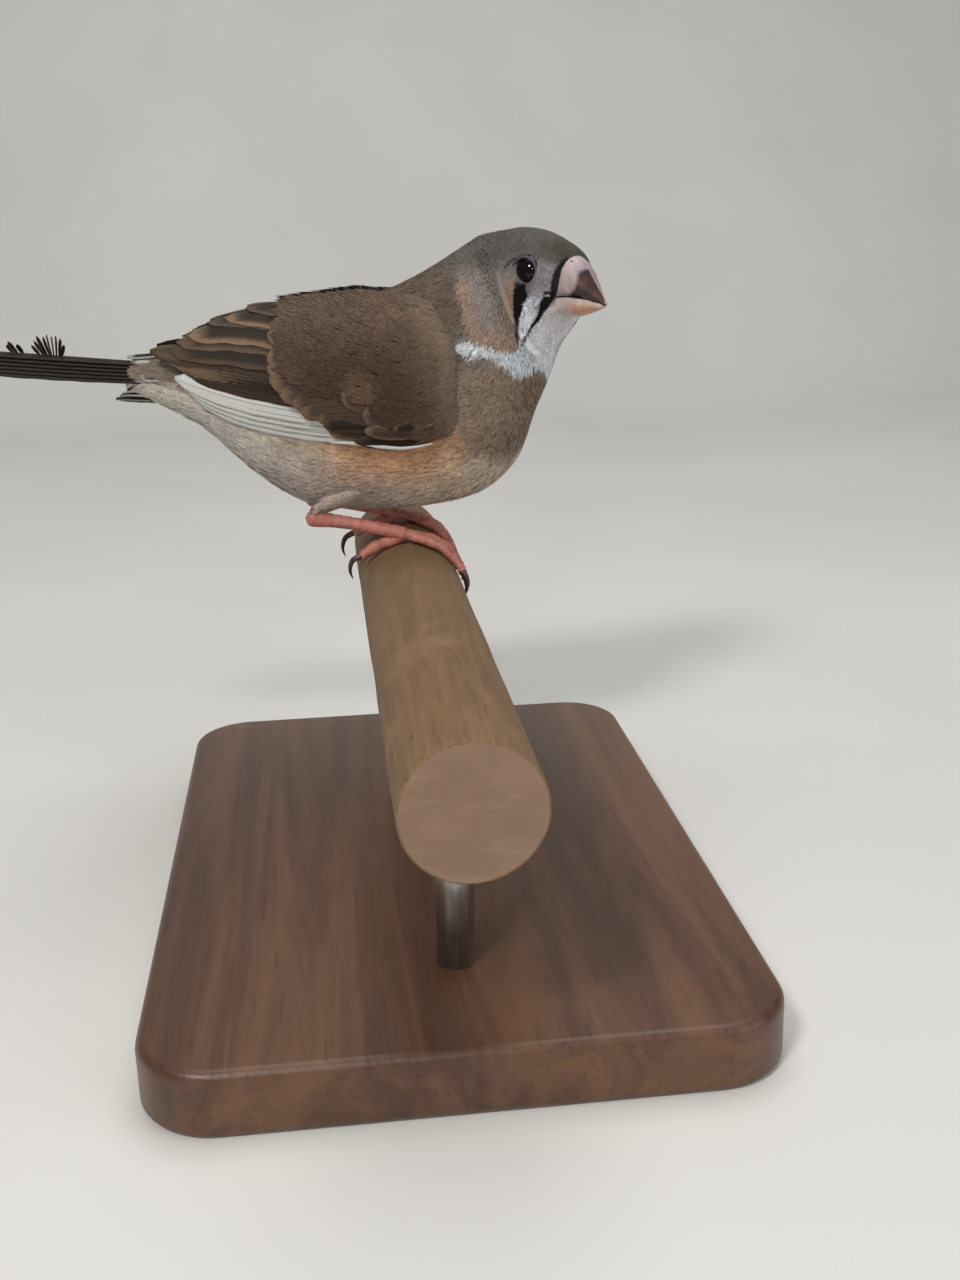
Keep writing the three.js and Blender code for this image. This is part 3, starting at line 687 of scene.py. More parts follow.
def markings(u, around, p):
    """The plumage's colour at stations u and angles around, which lie at places p."""
    patch = fine_noise(p, 3.2, 1)
    speck = fine_noise(p, 0.75, 2)
    q = from_head(p)
    x, y, z = q[:, 0], np.abs(q[:, 1]), q[:, 2]
    slant = 0.69 * x - 0.72 * y
    r = around + patch * 4
    flank = ease(3.7, 5.1, u + patch * 0.3) * ease(7.2, 5.9, u) * ease(92, 102, r) * ease(142, 116, r)
    c = painted(P["mantle"], (ease(3.0, 1.2, u), "rump"), (ease(6.6, 9.0, u), "nape"),
                (ease(6.0, 8.5, u) * ease(50, 70, around), "side_neck"),
                (ease(11.2, 12.6, u) * ease(70, 44, around), "crown"),
                (ease(13.4, 14.8, u) * ease(60, 30, around), "brow"),
                (ease(72, 92, r) * ease(12.2, 11.0, u), "breast"),
                (ease(-6, 16, r - BREAST_LOW(u)) * ease(10, 9, u), "breast_pale"),
                (ease(6.2, 5.0, u) * ease(104, 122, r), "belly"),
                (ease(3.8, 2.4, u) * ease(88, 104, r), "vent"), (0.85 * flank, "flank"))
    # cheek with its buff rim
    away = np.hypot(x - 0.3, y - 7.0) + 0.13 * np.clip(z + 10.5, 0, 10)
    foot = z - CHEEK_LOW(away)
    behind = TEAR_REAR(z) - slant
    cheek = ease(10.9, 10.0, away + 0.3 * patch) * ease(-0.25, 0.25, foot + 0.1 * speck)
    cheek = cheek * ease(-0.2, 0.1, behind) * ease(1.0, -2.4, z) * ease(7.4, 7.9, u)
    cheek = cheek * ease(-12.4, -11.4, z)
    rim = np.maximum(ease(4.4, 0.8, foot), ease(8.2, 9.8, away) * ease(-1.4, -3.6, z))
    rim = np.maximum(rim, ease(2.6, 0.5, behind) * ease(-1.2, -3.0, z))
    c = painted(c, (0.85 * cheek, "cheek"), (0.62 * cheek * rim * (0.85 + 0.3 * patch), "buff"))
    # white collar and throat
    right = ease(0.8, -0.8, q[:, 1])
    collar_low = COLLAR_RIGHT(around) * right + COLLAR_LEFT(around) * (1 - right)
    below = np.maximum(ease(0.25, -0.25, foot + 0.1 * speck), ease(-0.1, 0.15, slant - LIP_FRONT(z)))
    below = np.maximum(below, ease(-9.9, -10.4, z) * ease(0.1, -0.2, behind))
    white = below * ease(-0.35, 0.35, z - collar_low + 0.3 * speck) * ease(13.4, 12.6, away)
    white = white * ease(7.0, 7.3, u) * ease(-2.9, -3.5, z) * ease(64, 70, around)
    c = painted(c, (white, "collar"), (white * ease(-2.2, 0.6, slant), "throat"),
                (0.85 * white * ease(-7.6, -5.8, z) * ease(140, 115, around), "chin"))
    c = face_markings(c, u, around, p, y, z, slant, speck)
    shade = 1 + 0.10 * patch + 0.07 * speck * ease(8.5, 10, u) + 0.05 * speck
    return np.clip(c * shade[:, None], 0, 1)


def face_markings(c, u, around, p, y, z, slant, speck):
    """Lores, the black and white lines below the eye, and the dark line at the bill's base."""
    side = ease(1.2, 2.2, y) * ease(9.6, 10.2, u)
    lores = side * ease(-3.3, -2.2, slant) * ease(-4.6, -3.8, z) * ease(2.0, 0.6, z)
    between = side * ease(-0.15, 0.15, slant - TEAR_FRONT(z)) * ease(0.12, -0.12, slant - LIP_REAR(z))
    between = between * ease(-3.3, -4.3, z + 0.4 * speck) * ease(-10.3, -9.9, z)
    fleck = fine_noise(p * np.array([1, 1, 0.45]), 0.33, 9)
    tear = side * ease(-0.18, 0.12, slant - TEAR_REAR(z) + 0.15 * speck)
    tear = tear * ease(0.16, -0.14, slant - TEAR_FRONT(z) + 0.2 * speck)
    lip = side * ease(-0.14, 0.12, slant - LIP_REAR(z) + 0.15 * speck)
    lip = lip * ease(0.14, -0.12, slant - LIP_FRONT(z) + 0.15 * speck)
    spot = ease(0.5, 0.25, np.hypot(slant + 0.45, (z + 3.1) * 2.2)) * side
    base = ease(-0.12, 0.1, u - BASE_LINE(around) + 0.06 * speck) * ease(122, 108, around)
    return painted(c, (0.9 * lores * (1 - 0.35 * ease(0.25, 0.5, speck)), "lores"),
                   (0.3 * lores * ease(-1.6, -3.2, z), "white"), (between, "white"),
                   (between * ease(0.08, 0.4, fleck + 0.3 * speck) * 0.55, "black"),
                   (tear * ease(-1.7, -2.1, z) * ease(-10.6, -10.2, z), "black"),
                   (lip * ease(-2.3, -2.7, z) * ease(-10.3, -9.8, z), "lip"),
                   (spot * 0.6, "white"), (base * 0.95, "black"))


# The skin under the coat

SKIN_START = 0.3
THIGH_COAT_DEPTH = 0.4
SKIN_GRAIN = 0.55 * MM


def skin_mesh():
    """Trunk and thighs run together into one closed skin without a seam."""
    bm = bmesh.new()

    def trunk(s, turn):
        return BODY.point(mid(SKIN_START, BODY.last, s), turn * 2 * math.pi, -COAT_DEPTH)

    wrap(bm, trunk, 97, 73)
    rough = to_mesh(bm, "skin_rough")
    holder = new_object(rough)
    for form in THIGHS.values():
        bm = bmesh.new()
        wrap(bm, lambda s, turn: form.point(s * form.last, turn * 2 * math.pi, -THIGH_COAT_DEPTH), 25, 29)
        bm.from_mesh(rough)
        bm.to_mesh(rough)
        bm.free()
    melt = holder.modifiers.new("melt", "REMESH")
    melt.mode = "VOXEL"
    melt.voxel_size = SKIN_GRAIN
    soften = holder.modifiers.new("soften", "SMOOTH")
    soften.iterations = 3
    ready = holder.evaluated_get(bpy.context.evaluated_depsgraph_get())
    mesh = bpy.data.meshes.new_from_object(ready)
    mesh.name = "skin"
    bpy.data.objects.remove(holder)
    return mesh


def stations_of(points):
    """The station and angle of the body's surface nearest to each point."""
    u, a = np.meshgrid(np.linspace(0, BODY.last, 161), np.linspace(-np.pi, np.pi, 121))
    u, a = u.ravel(), a.ravel()
    tree = KDTree(len(u))
    for i, spot in enumerate(BODY.point(u, a)):
        tree.insert(spot, i)
    tree.balance()
    found = np.array([tree.find(p)[1] for p in points])
    return u[found], a[found]


def make_skin(material):
    mesh = skin_mesh()
    p = points_of(mesh)
    u, a = stations_of(p)
    # painted light: the skin is made lighter than the coat, to lift the shade in the gaps between vanes so
    # that they don't read as black; near the eye, where the skin itself shows, it is kept a little darker
    painted_gap_light = np.where(u > HEAD_START, mid(0.9, 1.2, ease(3.0, 4.0, eye_gap(from_head(p)))), 1.3)
    colour_points(mesh, np.clip(markings(u, round_of(a), p) * painted_gap_light[:, None], 0, 1))
    finish_piece(mesh, material, ("head", "neck", "torso", "thigh_right", "thigh_left"))


# The coat: thousands of small closed vanes that lie back along the body

# A vane's rings and its point: how far along each lies, its width, its height and its tone
VANE_RUN = np.array([0.0, 0.34, 0.7, 1.0])
VANE_WIDE = np.array([0.6, 1.0, 0.8])
VANE_RISE = np.sin(VANE_RUN * 1.45) ** 0.7
VANE_TONE = np.array([0.82, 0.96, 1.02, 1.06])
VANE_POINTS = 10
RING_SIZES = (3, 3, 3, 1)
ROOT_SUNK = 0.12
CREST = 0.09
SIDE_LEAN = 0.3
PATCH_LONG, PATCH_WIDE = 0.003, 0.0015


def vane_faces():
    """Triangles of one vane: a flat three-sided bar through three rings to a point."""
    faces = [(0, 1, 2)]
    for b in (0, 3):
        for k in range(3):
            n = (k + 1) % 3
            faces.append((b + k, b + 3 + n, b + n))
            faces.append((b + k, b + 3 + k, b + 3 + n))
    for k in range(3):
        faces.append((6 + k, 9, 6 + (k + 1) % 3))
    return np.array(faces)


def tufted(along, across, cell):
    """Where each root lies across and along its small feather, and a tone for that feather."""
    row = np.floor(along / cell)
    place_in = across / (cell * 1.15) + 0.5 * (row % 2)
    column = np.floor(place_in)
    tone = np.sin(row * 12.9898 + column * 78.233) * 43758.5453
    return place_in - column - 0.5, along / cell - row - 0.5, 2 * (tone - np.floor(tone)) - 1


def scatter(form, start, stop, along, across, keep):
    """Roots in staggered rows from start to stop, thinned by keep(u, a)."""
    net = np.linspace(-math.pi, math.pi, 241)
    roots = []
    u = start
    while u < stop:
        ring = form.point(np.full(241, u), net)
        length = np.concatenate([[0], np.cumsum(np.linalg.norm(np.diff(ring, axis=0), axis=1))])
        count = max(6, int(length[-1] / across(u)))
        at = (np.arange(count) + draws.random() + draws.uniform(-0.35, 0.35, count)) / count
        a = np.interp((at % 1) * length[-1], length, net)
        roots.append(np.stack([u + draws.uniform(-0.5, 0.5, count) * along(u) * 0.12, a], 1))
        step = form.point(np.array([u, u + 0.05]), np.array([0.0, 0.0]))
        spine = form.point(np.array([u, u + 0.05]), np.array([math.pi / 2] * 2))
        pace = max(np.linalg.norm(step[1] - step[0]), np.linalg.norm(spine[1] - spine[0])) / 0.05
        u += along(u) / max(pace, 1e-3)
    roots = np.concatenate(roots)
    held = keep(roots[:, 0], roots[:, 1])
    return roots[held, 0], roots[held, 1]


def coat_mesh(name, form, u, a, length, width, lift, colours, spread, unwrap, cell,
              clump=0.22, mirror=False):
    """Vanes rooted on a form at u and a that lie back along it, as one mesh.

    Their normals follow the form, so that the coat is lit as one soft surface. cell is the size
    of the small feathers that they bunch into, and clump how far they close up in each."""
    count = len(u)
    *_, run, turn = lie(form, u, a)
    aside, ahead, tone = tufted(u * run, a * turn, cell)
    yaw = draws.normal(0, spread, count) - clump * aside
    reach = VANE_RUN[None, :] * length[:, None]
    us = u[:, None] - reach * np.cos(yaw)[:, None] / np.maximum(run, 0.3)[:, None]
    aa = a[:, None] + reach * np.sin(yaw)[:, None] / np.maximum(turn, 0.8)[:, None]
    spot, _, across, out, *_ = lie(form, us.ravel(), aa.ravel())
    spot, across, out = (v.reshape(count, 4, 3) for v in (spot, across, out))
    root = -COAT_DEPTH - ROOT_SUNK
    crown = lift + 0.05 * cell * (0.5 - np.abs(aside))
    height = root + (crown - root)[:, None] * VANE_RISE[None, :]
    half = (0.5 * width[:, None] * VANE_WIDE[None, :])[..., None]
    base = spot + out * height[..., None]
    ring, way, up = base[:, :3], across[:, :3], out[:, :3]
    crest = ring + up * (CREST * width)[:, None, None]
    points = np.stack([ring - way * half, crest, ring + way * half], 2).reshape(count, 9, 3)
    points = np.concatenate([points, base[:, 3:]], 1)
    lean = SIDE_LEAN * way
    normals = np.stack([up - lean, up, up + lean], 2).reshape(count, 9, 3)
    normals = unit(np.concatenate([normals, out[:, 3:]], 1))
    faces = vane_faces()
    if mirror:
        points[..., 1] *= -1
        normals[..., 1] *= -1
        faces = faces[:, ::-1]
    tone = (1 + 0.07 * tone + 0.05 * ahead)[:, None] * np.repeat(VANE_TONE, RING_SIZES)[None, :]
    tints = np.clip(colours[:, None, :] * tone[..., None], 0, 1)
    patch = np.empty((count, VANE_POINTS, 2))
    patch[..., 0] = unwrap[:, None, 0] + PATCH_LONG * (np.repeat(VANE_RUN, RING_SIZES) - 0.5)
    patch[..., 1] = unwrap[:, None, 1] + PATCH_WIDE * np.array([-1.0, 0, 1] * 3 + [0.0])
    mesh = bpy.data.meshes.new(name)
    corners = (faces[None] + (np.arange(count) * VANE_POINTS)[:, None, None]).reshape(-1)
    mesh.vertices.add(count * VANE_POINTS)
    mesh.vertices.foreach_set("co", place(points.reshape(-1, 3)).astype(np.float32).ravel())
    mesh.loops.add(len(corners))
    mesh.loops.foreach_set("vertex_index", corners.astype(np.int32))
    mesh.polygons.add(len(corners) // 3)
    mesh.polygons.foreach_set("loop_start", np.arange(0, len(corners), 3, dtype=np.int32))
    layer = mesh.uv_layers.new(name="OFBake")
    layer.data.foreach_set("uv", patch.reshape(-1, 2)[corners].astype(np.float32).ravel())
    mesh.update(calc_edges=True)
    mesh.polygons.foreach_set("use_smooth", [True] * len(mesh.polygons))
    mesh.normals_split_custom_set_from_vertices(normals.reshape(-1, 3))
    colour_points(mesh, tints.reshape(-1, 3))
    return mesh


def body_unwrap(u, a):
    return np.stack([0.03 + 0.94 * u / BODY.last, 0.03 + 0.72 * ((a / (2 * math.pi)) % 1)], 1)


def make_body_coat(material):
    """Vanes over the trunk, smaller and denser towards the face."""
    size = keyed([[0, 3.4], [2, 3.8], [5, 3.4], [8, 2.7], [10, 2.0], [12, 1.45], [14, 0.95], [16, 0.6]])
    wide = keyed([[0, 0.62], [5, 0.6], [8, 0.5], [10, 0.42], [12, 0.32], [14, 0.25], [16, 0.2]])
    stretches = (("coat_rump", 0.55, 2.6), ("coat_vent", 2.6, 4.2), ("coat_belly", 4.2, 5.8),
                 ("coat_flanks", 5.8, 7.4), ("coat_breast", 7.4, 9.0), ("coat_collar", 9.0, 10.3),
                 ("coat_neck", 10.3, 11.5), ("coat_nape", 11.5, 12.7), ("coat_crown", 12.7, 14.0),
                 ("coat_face", 14.0, 15.2), ("coat_bill_base", 15.2, 16.0))

    def facing(u, q):
        """Places on the side of the head, where the eye is."""
        return (np.abs(q[:, 1]) >= 3.5) & (u >= HEAD_START)

    def keep(u, a):
        q = from_head(BODY.point(u, a))
        r = round_of(a)
        under_wing = (u > 2.2) & (u < 7.0) & (r > 48) & (r < 84)
        return ~(facing(u, q) & (eye_gap(q) <= EYE_OPENING)) & ~under_wing

    for name, start, stop in stretches:
        u, a = scatter(BODY, start, stop, lambda s: size(s) * 0.23,
                       lambda s: wide(s) * (0.45 if s < 9 else 0.55), keep)
        q = from_head(BODY.point(u, a))
        r = round_of(a)
        ruffle = draws.normal(0, 1, len(u))
        length = size(u) * (1 + 0.12 * ruffle)
        fluff = ease(100, 140, r) * ease(7, 5, u)
        length = length * (1 + 0.25 * fluff)
        short = 0.25 + 0.45 * np.maximum(eye_gap(q) - 2.1, 0)
        length = np.where(facing(u, q), np.minimum(length, short), length)
        lift = 0.04 * np.abs(ruffle) * (length / 3) + 0.15 * fluff * draws.random(len(u))
        # colours are read where the vane shows, nearer its tip than its root
        shown = u - 0.62 * length / np.maximum(lie(BODY, u, a)[4], 0.5)
        colours = markings(shown, r, BODY.point(shown, a))
        colours = np.clip(colours * (1 + 0.06 * draws.normal(0, 1, (len(u), 1))), 0, 1)
        cell = np.interp(u, [0, 8, 12, 16], [2.4, 1.9, 1.1, 0.6]).mean()
        width = wide(u) * mid(1.3, 1.0, ease(8, 11, u))
        mesh = coat_mesh(name, BODY, u, a, length, width, lift, colours, 0.1, body_unwrap(u, a), cell)
        finish_piece(mesh, material)


def make_thigh_coat(material):
    for hand, form in THIGHS.items():
        name = "coat_thigh_left" if hand > 0 else "coat_thigh_right"
        u, a = scatter(form, 0.25, form.last, lambda s: 0.5, lambda s: 0.32, lambda u, a: u > 0)
        length = 2.6 + 0.5 * draws.normal(0, 1, len(u))
        pale = 0.85 + 0.15 * fine_noise(form.point(u, a), 3.0, 4)
        colours = painted(P["flank"], (pale, "belly")) * (0.92 + 0.06 * draws.normal(0, 1, (len(u), 1)))
        unwrap = np.stack([0.03 + 0.4 * u / form.last + (0.5 if hand > 0 else 0),
                           0.80 + 0.16 * ((a / (2 * math.pi)) % 1)], 1)
        lift = 0.1 + 0.1 * draws.random(len(u))
        mesh = coat_mesh(name, form, u, a, length, np.full(len(u), 0.5), lift, colours, 0.15, unwrap, 1.6)
        finish_piece(mesh, material)


# The folded wing lies on a sheath. u is the place along the body, a runs from 0 at the wing's
# lower edge to 1 at its upper edge.

class Sheath:
    """A surface over the body's side with half widths, heights and angles by place along the body."""

    half = staticmethod(keyed([[-38, 4.4], [-34, 6.3], [-30, 8.2], [-24, 10.8], [-16, 13.2], [-8, 14.6],
                               [0, 15.0], [8, 14.4], [14, 12.4]]))
    middle = staticmethod(keyed([[-38, 34.6], [-31, 33.2], [-24, 31.8], [-16, 30.8], [-8, 30], [0, 29.6],
                                 [8, 30], [14, 31.5]]))
    rise = staticmethod(keyed([[-38, 2.4], [-31, 5.2], [-24, 8.6], [-16, 11], [-8, 13.1], [0, 15.3],
                               [8, 16.6], [14, 16]]))
    lower = staticmethod(keyed([[-38, -22], [-31, -38], [-24, -38], [-16, -34], [-8, -28], [0, -25],
                                [8, -16], [14, -5]]))
    upper = staticmethod(keyed([[-38, 68], [-31, 76], [-24, 80], [-16, 79], [-8, 72], [0, 60], [8, 45],
                                [14, 28]]))

    def point(self, u, a, grow=0.0):
        angle = np.radians(self.lower(u) + (self.upper(u) - self.lower(u)) * a)
        stretch = np.where(angle < 0, 1.15, 1.0)
        return np.stack([u, (self.half(u) + grow) * np.cos(angle),
                         self.middle(u) + (self.rise(u) + grow) * np.sin(angle) * stretch], -1)

    def width(self, u):
        return np.radians(self.upper(u) - self.lower(u)) * (self.half(u) + self.rise(u)) * 0.5


SHEATH = Sheath()
# Widths of a feather by the share of the way from root to tip
QUILL_WIDE = keyed([[0, 0.35], [0.12, 0.72], [0.4, 0.98], [0.7, 1.0], [0.88, 0.86], [0.96, 0.6], [1, 0.12]])
LINE_WIDE = keyed([[0, 0.1], [0.3, 0.8], [0.7, 1.0], [0.9, 0.6], [1, 0.1]])
COVERT_WIDE = keyed([[0, 0.5], [0.3, 0.9], [0.6, 1.0], [0.82, 0.9], [0.94, 0.62], [1, 0.14]])
FEATHER_ACROSS = 9


class FeatherBed:
    """Gathers feathers into one piece.

    The look of each is its colour, its rim's colour, the rim's share and the dark centre's share."""

    def __init__(self, name):
        self.name = name
        self.bm = bmesh.new()
        self.bm.loops.layers.uv.new("vane")
        self.counts, self.looks = [], []

    def add(self, point, runs, thick, *look):
        """A feather through point(s, e): s runs from root to tip and e from -1 to 1 across it."""
        made = sheet(self.bm, lambda s, turn: point(s, turn * 2 - 1), runs, FEATHER_ACROSS, True)
        faces = list({f for v in made for f in v.link_faces})
        before = len(self.bm.verts)
        bmesh.ops.solidify(self.bm, geom=faces, thickness=thick * MM)
        self.counts.append(len(self.bm.verts) - before + len(made))
        self.looks.append(look)

    def finish(self, material, node, mirror=False):
        bmesh.ops.recalc_face_normals(self.bm, faces=self.bm.faces)
        mesh = to_mesh(self.bm, self.name)
        if mirror:
            mirror_mesh(mesh)
        tint, rim, rim_share, dusk = (np.repeat(part, self.counts, 0) for part in zip(*self.looks))
        colour_points(mesh, tint)
        colour_points(mesh, rim, "rim")
        share_points(mesh, rim_share, "rim_share")
        share_points(mesh, dusk, "dusk_share")
        finish_piece(mesh, material, (node,))


def frayed(s, e, start, pace, wave, depth):
    """Small nicks along a feather's edges, from start to the tip."""
    return 1 + depth * np.sin(s * pace + wave) * (np.abs(e) > 0.9) * (s > start)


def wing_feather(bed, root, tip, half, lift, tint, rim_share=0.0, dusk=1.0, tilt=0.22, thick=0.14,
                 wide=QUILL_WIDE, runs=20, bow=0.25):
    """One feather on the sheath from root to tip, which give u and a. lift is its height at both."""
    wave = draws.uniform(0, 6.28)
    ragged = draws.uniform(0.03, 0.08)

    def point(s, e):
        u = root[0] + (tip[0] - root[0]) * s
        shift = e * half * wide(s) * frayed(s, e, 0.3, 34, wave, ragged) / SHEATH.width(u)
        a = root[1] + (tip[1] - root[1]) * s ** 0.85 + shift
        ridge = 0.07 * (np.abs(e) < 0.15)
        height = lift[0] + (lift[1] - lift[0]) * s - tilt * e * np.minimum(1, 3 * s)
        return SHEATH.point(u, a, height + bow * (1 - e * e) * wide(s) + ridge)

    bed.add(point, runs, thick, tint, P["wing_edge"] if rim_share else tint, rim_share, dusk)


def fan(count):
    """The shares of the way at which things stand that are spread evenly, from 0 to 1."""
    return [i / (count - 1) for i in range(count)]


def varied(colour, amount=0.08):
    """A colour made a little lighter or darker by chance."""
    return np.clip(colour * (1 + amount * draws.normal()), 0, 1)


# The inner feathers: tip and root as u and a, half width, height at the tip, and share of the rim
INNER_FEATHERS = [
    ((-33.0, 0.66), (-5, 0.36), 2.0, 0.85, 0.3), ((-32.0, 0.78), (-6, 0.44), 2.2, 1.0, 0.45),
    ((-30.4, 0.84), (-7, 0.50), 2.5, 1.15, 1.0), ((-27.6, 0.93), (-7, 0.6), 2.2, 1.3, 0.35),
    ((-25.0, 0.90), (-7, 0.62), 2.3, 1.45, 1.0), ((-22.0, 0.96), (-7, 0.72), 2.2, 1.6, 0.4),
]
# The covers' scalloped rear edge, as u and a, from the top of the wing round to its lower edge
COVER_TIPS = [(-16.6, 0.77), (-18.6, 0.72), (-18.9, 0.65), (-18.4, 0.57), (-19.0, 0.51), (-19.2, 0.45),
              (-18.8, 0.39), (-17.9, 0.335), (-16.7, 0.285), (-15.2, 0.24), (-13.2, 0.215), (-11.0, 0.205)]
# Small feathers of the wing's front and lower edge: tip, root, half width, height at root and tip,
# tone of the colour, and share of the rim
FRONT_FEATHERS = [
    ((-11.0, 0.115), (2.0, 0.10), 1.0, (0.2, 1.25), 0.9, 0.9),
    ((-7.6, 0.075), (3.5, 0.06), 0.75, (0.1, 1.35), 0.3, 0.2),
    ((-11.8, 0.162), (-4.2, 0.155), 0.85, (1.2, 1.8), 0.28, 0.3),
    ((-6.2, 0.14), (3.5, 0.125), 0.8, (0.4, 1.8), 0.85, 0.8),
    ((-2.2, 0.165), (4.0, 0.15), 0.6, (-0.4, 1.95), 0.3, 0.4),
    ((-9.2, 0.30), (0.0, 0.28), 1.9, (-0.9, 2.04), 0.95, 0.4),
    ((-6.4, 0.215), (3.0, 0.22), 1.5, (-0.6, 1.9), 0.95, 0.45),
]


def make_wing(name, mirror, vanes, node):
    bed = FeatherBed(name)
    # the white outer feathers along the lower edge
    for f in fan(4):
        root = (mid(-1, -5, f), mid(0.07, 0.155, f))
        tip = (mid(-30.0, -32.4, f), mid(0.135, 0.285, f))
        wing_feather(bed, root, tip, 1.65, (0.25, mid(0.1, 0.4, f)), varied(P["pied"], 0.02),
                     dusk=0.0, thick=0.16, tilt=0.05, bow=0.06)
    # the long feathers of the closed wing
    for i, f in enumerate(fan(12)):
        root = (-3 - 2 * f, mid(0.20, 0.36, f))
        tip = (mid(-30.5, -35.8, min(1, f * 1.3)), mid(0.39, 0.70, f))
        tint = varied(P["wing_dark"] if i in (0, 1, 2, 7, 8, 9) else P["quill"])
        wing_feather(bed, root, tip, 1.5, (0.45, mid(0.4, 0.75, f)), tint,
                     0.5 if i in (3, 4, 5, 6) else 0.15, tilt=0.14, bow=0.15)
    for tip, root, half, rise, edge in INNER_FEATHERS:
        wing_feather(bed, root, tip, half, (0.8, rise), varied(P["wing_dark"], 0.05), edge)
    for tip, f in zip(COVER_TIPS, fan(len(COVER_TIPS))):
        root = (mid(-6.5, -1.0, f), mid(0.74, 0.19, f) * 0.85 + 0.15 * tip[1])
        tip = (tip[0] + draws.uniform(-0.25, 0.25), tip[1])
        wing_feather(bed, root, tip, 2.7 if f < 0.7 else 1.8, (1.1, mid(1.75, 1.3, f)),
                     varied(P["wing"], 0.05), mid(0.4, 0.8, min(1, 2 * f)),
                     dusk=0.3, wide=COVERT_WIDE, runs=16, tilt=0.12, bow=0.3)
    for tip, root, half, lift, shade, edge in FRONT_FEATHERS:
        wing_feather(bed, root, tip, half, lift, varied(P["wing"] * shade, 0.04), edge,
                     dusk=0.4, wide=COVERT_WIDE, runs=14, tilt=0.06, bow=0.1)
    # the thin white line along the front's lower edge
    wing_feather(bed, (3.4, 0.042), (-11.0, 0.062), 0.2, (0.95, 1.25), P["pied"],
                 dusk=0.0, thick=0.12, tilt=0.0, bow=0.05, wide=LINE_WIDE)
    bed.finish(vanes, node, mirror)


def make_shoulder(name, mirror, material):
    """Small coverts and shoulder feathers, soft and close, over the front of the wing."""
    rows = []
    for u in np.arange(-15.5, 8.2, 0.5):
        count = int(SHEATH.width(np.array([u]))[0] / 0.3)
        a = (np.arange(count) + draws.random() + draws.uniform(-0.3, 0.3, count)) / count
        across = u + draws.uniform(-0.25, 0.25, count)
        rows.append(np.stack([across, 0.02 + 0.97 * (a % 1)], 1))
    roots = np.concatenate(rows)
    u, a = roots[:, 0], roots[:, 1]
    rear = np.interp(a, [0.2, 0.24, 0.34, 0.45, 0.75, 1.0], [-6.5, -8.0, -11.5, -13.6, -14.0, -13.0])
    front = np.interp(a, [0.0, 0.3, 0.6, 1.0], [8.2, 7.2, 7.6, 5.0])
    lower = np.interp(u, [-7, -3, -0.5, 1.5, 4, 8], [0.30, 0.27, 0.20, 0.13, 0.05, 0.02])
    keep = (u > rear) & (u < front) & (a > lower)
    u, a = u[keep], a[keep]
    p = SHEATH.point(u, a)
    patch = fine_noise(p, 4.0, 5)
    shaded = 0.5 * ease(0.62, 0.3, a) * ease(-14, -6, u) * ease(4, 0, u)
    fleck = 0.35 * ease(2.6, 0.6, np.hypot(u + 3.4, 18 * (a - 0.33)))
    colours = painted(P["wing"], (ease(0.5, 0.85, a), "mantle"), (shaded, "wing_dark"),
                      (0.6 * ease(3.0, 7.5, u + 3 * (a - 0.5)), "breast"), (fleck, "wing_edge"))
    colours = np.clip(colours * (1 + 0.08 * patch + 0.05 * draws.normal(0, 1, len(u)))[:, None], 0, 1)
    length = np.interp(u, [-14, 0, 8], [4.4, 3.6, 3.0]) * (1 + 0.1 * draws.normal(0, 1, len(u)))
    width = np.interp(u, [-14, 8], [1.0, 0.8])
    lift = np.interp(u, [-14, -2, 4, 8], [2.05, 1.95, 0.9, -0.6]) + 0.05 * draws.random(len(u))
    unwrap = np.stack([0.03 + 0.94 * (u + 16) / 28, 0.03 + 0.94 * a], 1)
    mesh = coat_mesh(name, SHEATH, u, a, length, width, lift, colours, 0.05, unwrap, 2.4, 0.12, mirror)
    finish_piece(mesh, material)


def make_wing_core(name, mirror, material):
    """The closed form under the wing's feathers."""
    bm = bmesh.new()

    def point(s, turn):
        u = 7.0 - s * 38.0
        e, thick = np.cos(turn * 2 * math.pi), np.sin(turn * 2 * math.pi)
        spread = np.minimum(1, 0.25 + 2.6 * s) * np.minimum(1, 1.75 - s)
        top = np.interp(s, [0, 0.15, 0.4, 0.55, 1], [0.0, 0.8, 1.3, 0.5, 0.0])
        height = np.where(thick > 0, top * thick, 1.2 * thick) - np.interp(s, [0, 0.2], [2.0, 0.1])
        return SHEATH.point(u, 0.5 + 0.45 * e * spread, height)

    wrap(bm, point, 49, 33)
    mesh = to_mesh(bm, name)
    if mirror:
        mirror_mesh(mesh)
    colour_points(mesh, P["wing"])
    finish_piece(mesh, material)


# The tail

# The root and length in millimetres, and the rise in degrees
TAIL_ROOT, TAIL_LENGTH, TAIL_RISE = np.array([-33.0, 0.0, 32.9]), 33.2, 6.0


def tail_feather(bed, hand, root, tip, half, roll, tint, rim, rim_share, dusk=0.6, runs=22,
                 wide=QUILL_WIDE, thick=0.16):
    """A straight feather from root to tip, turned about its length by roll in degrees."""
    root, tip = np.array(root, float), np.array(tip, float)
    way = unit(tip - root)
    lean = math.radians(roll) * hand
    across = hand * np.array([0.0, math.cos(lean), math.sin(lean)])
    across = unit(across - way * np.dot(across, way))
    up = unit(np.cross(way, across))
    up = up if up[2] > 0 else -up
    wave = draws.uniform(0, 6.28)

    def point(s, e):
        shift = e * half * wide(s) * frayed(s, e, 0.35, 40, wave, 0.05)
        height = 0.12 * (1 - e * e) + 0.06 * (np.abs(e) < 0.15)
        return root + (tip - root) * s[:, None] + across * shift[:, None] + up * height[:, None]

    bed.add(point, runs, thick, tint, rim, rim_share, dusk)


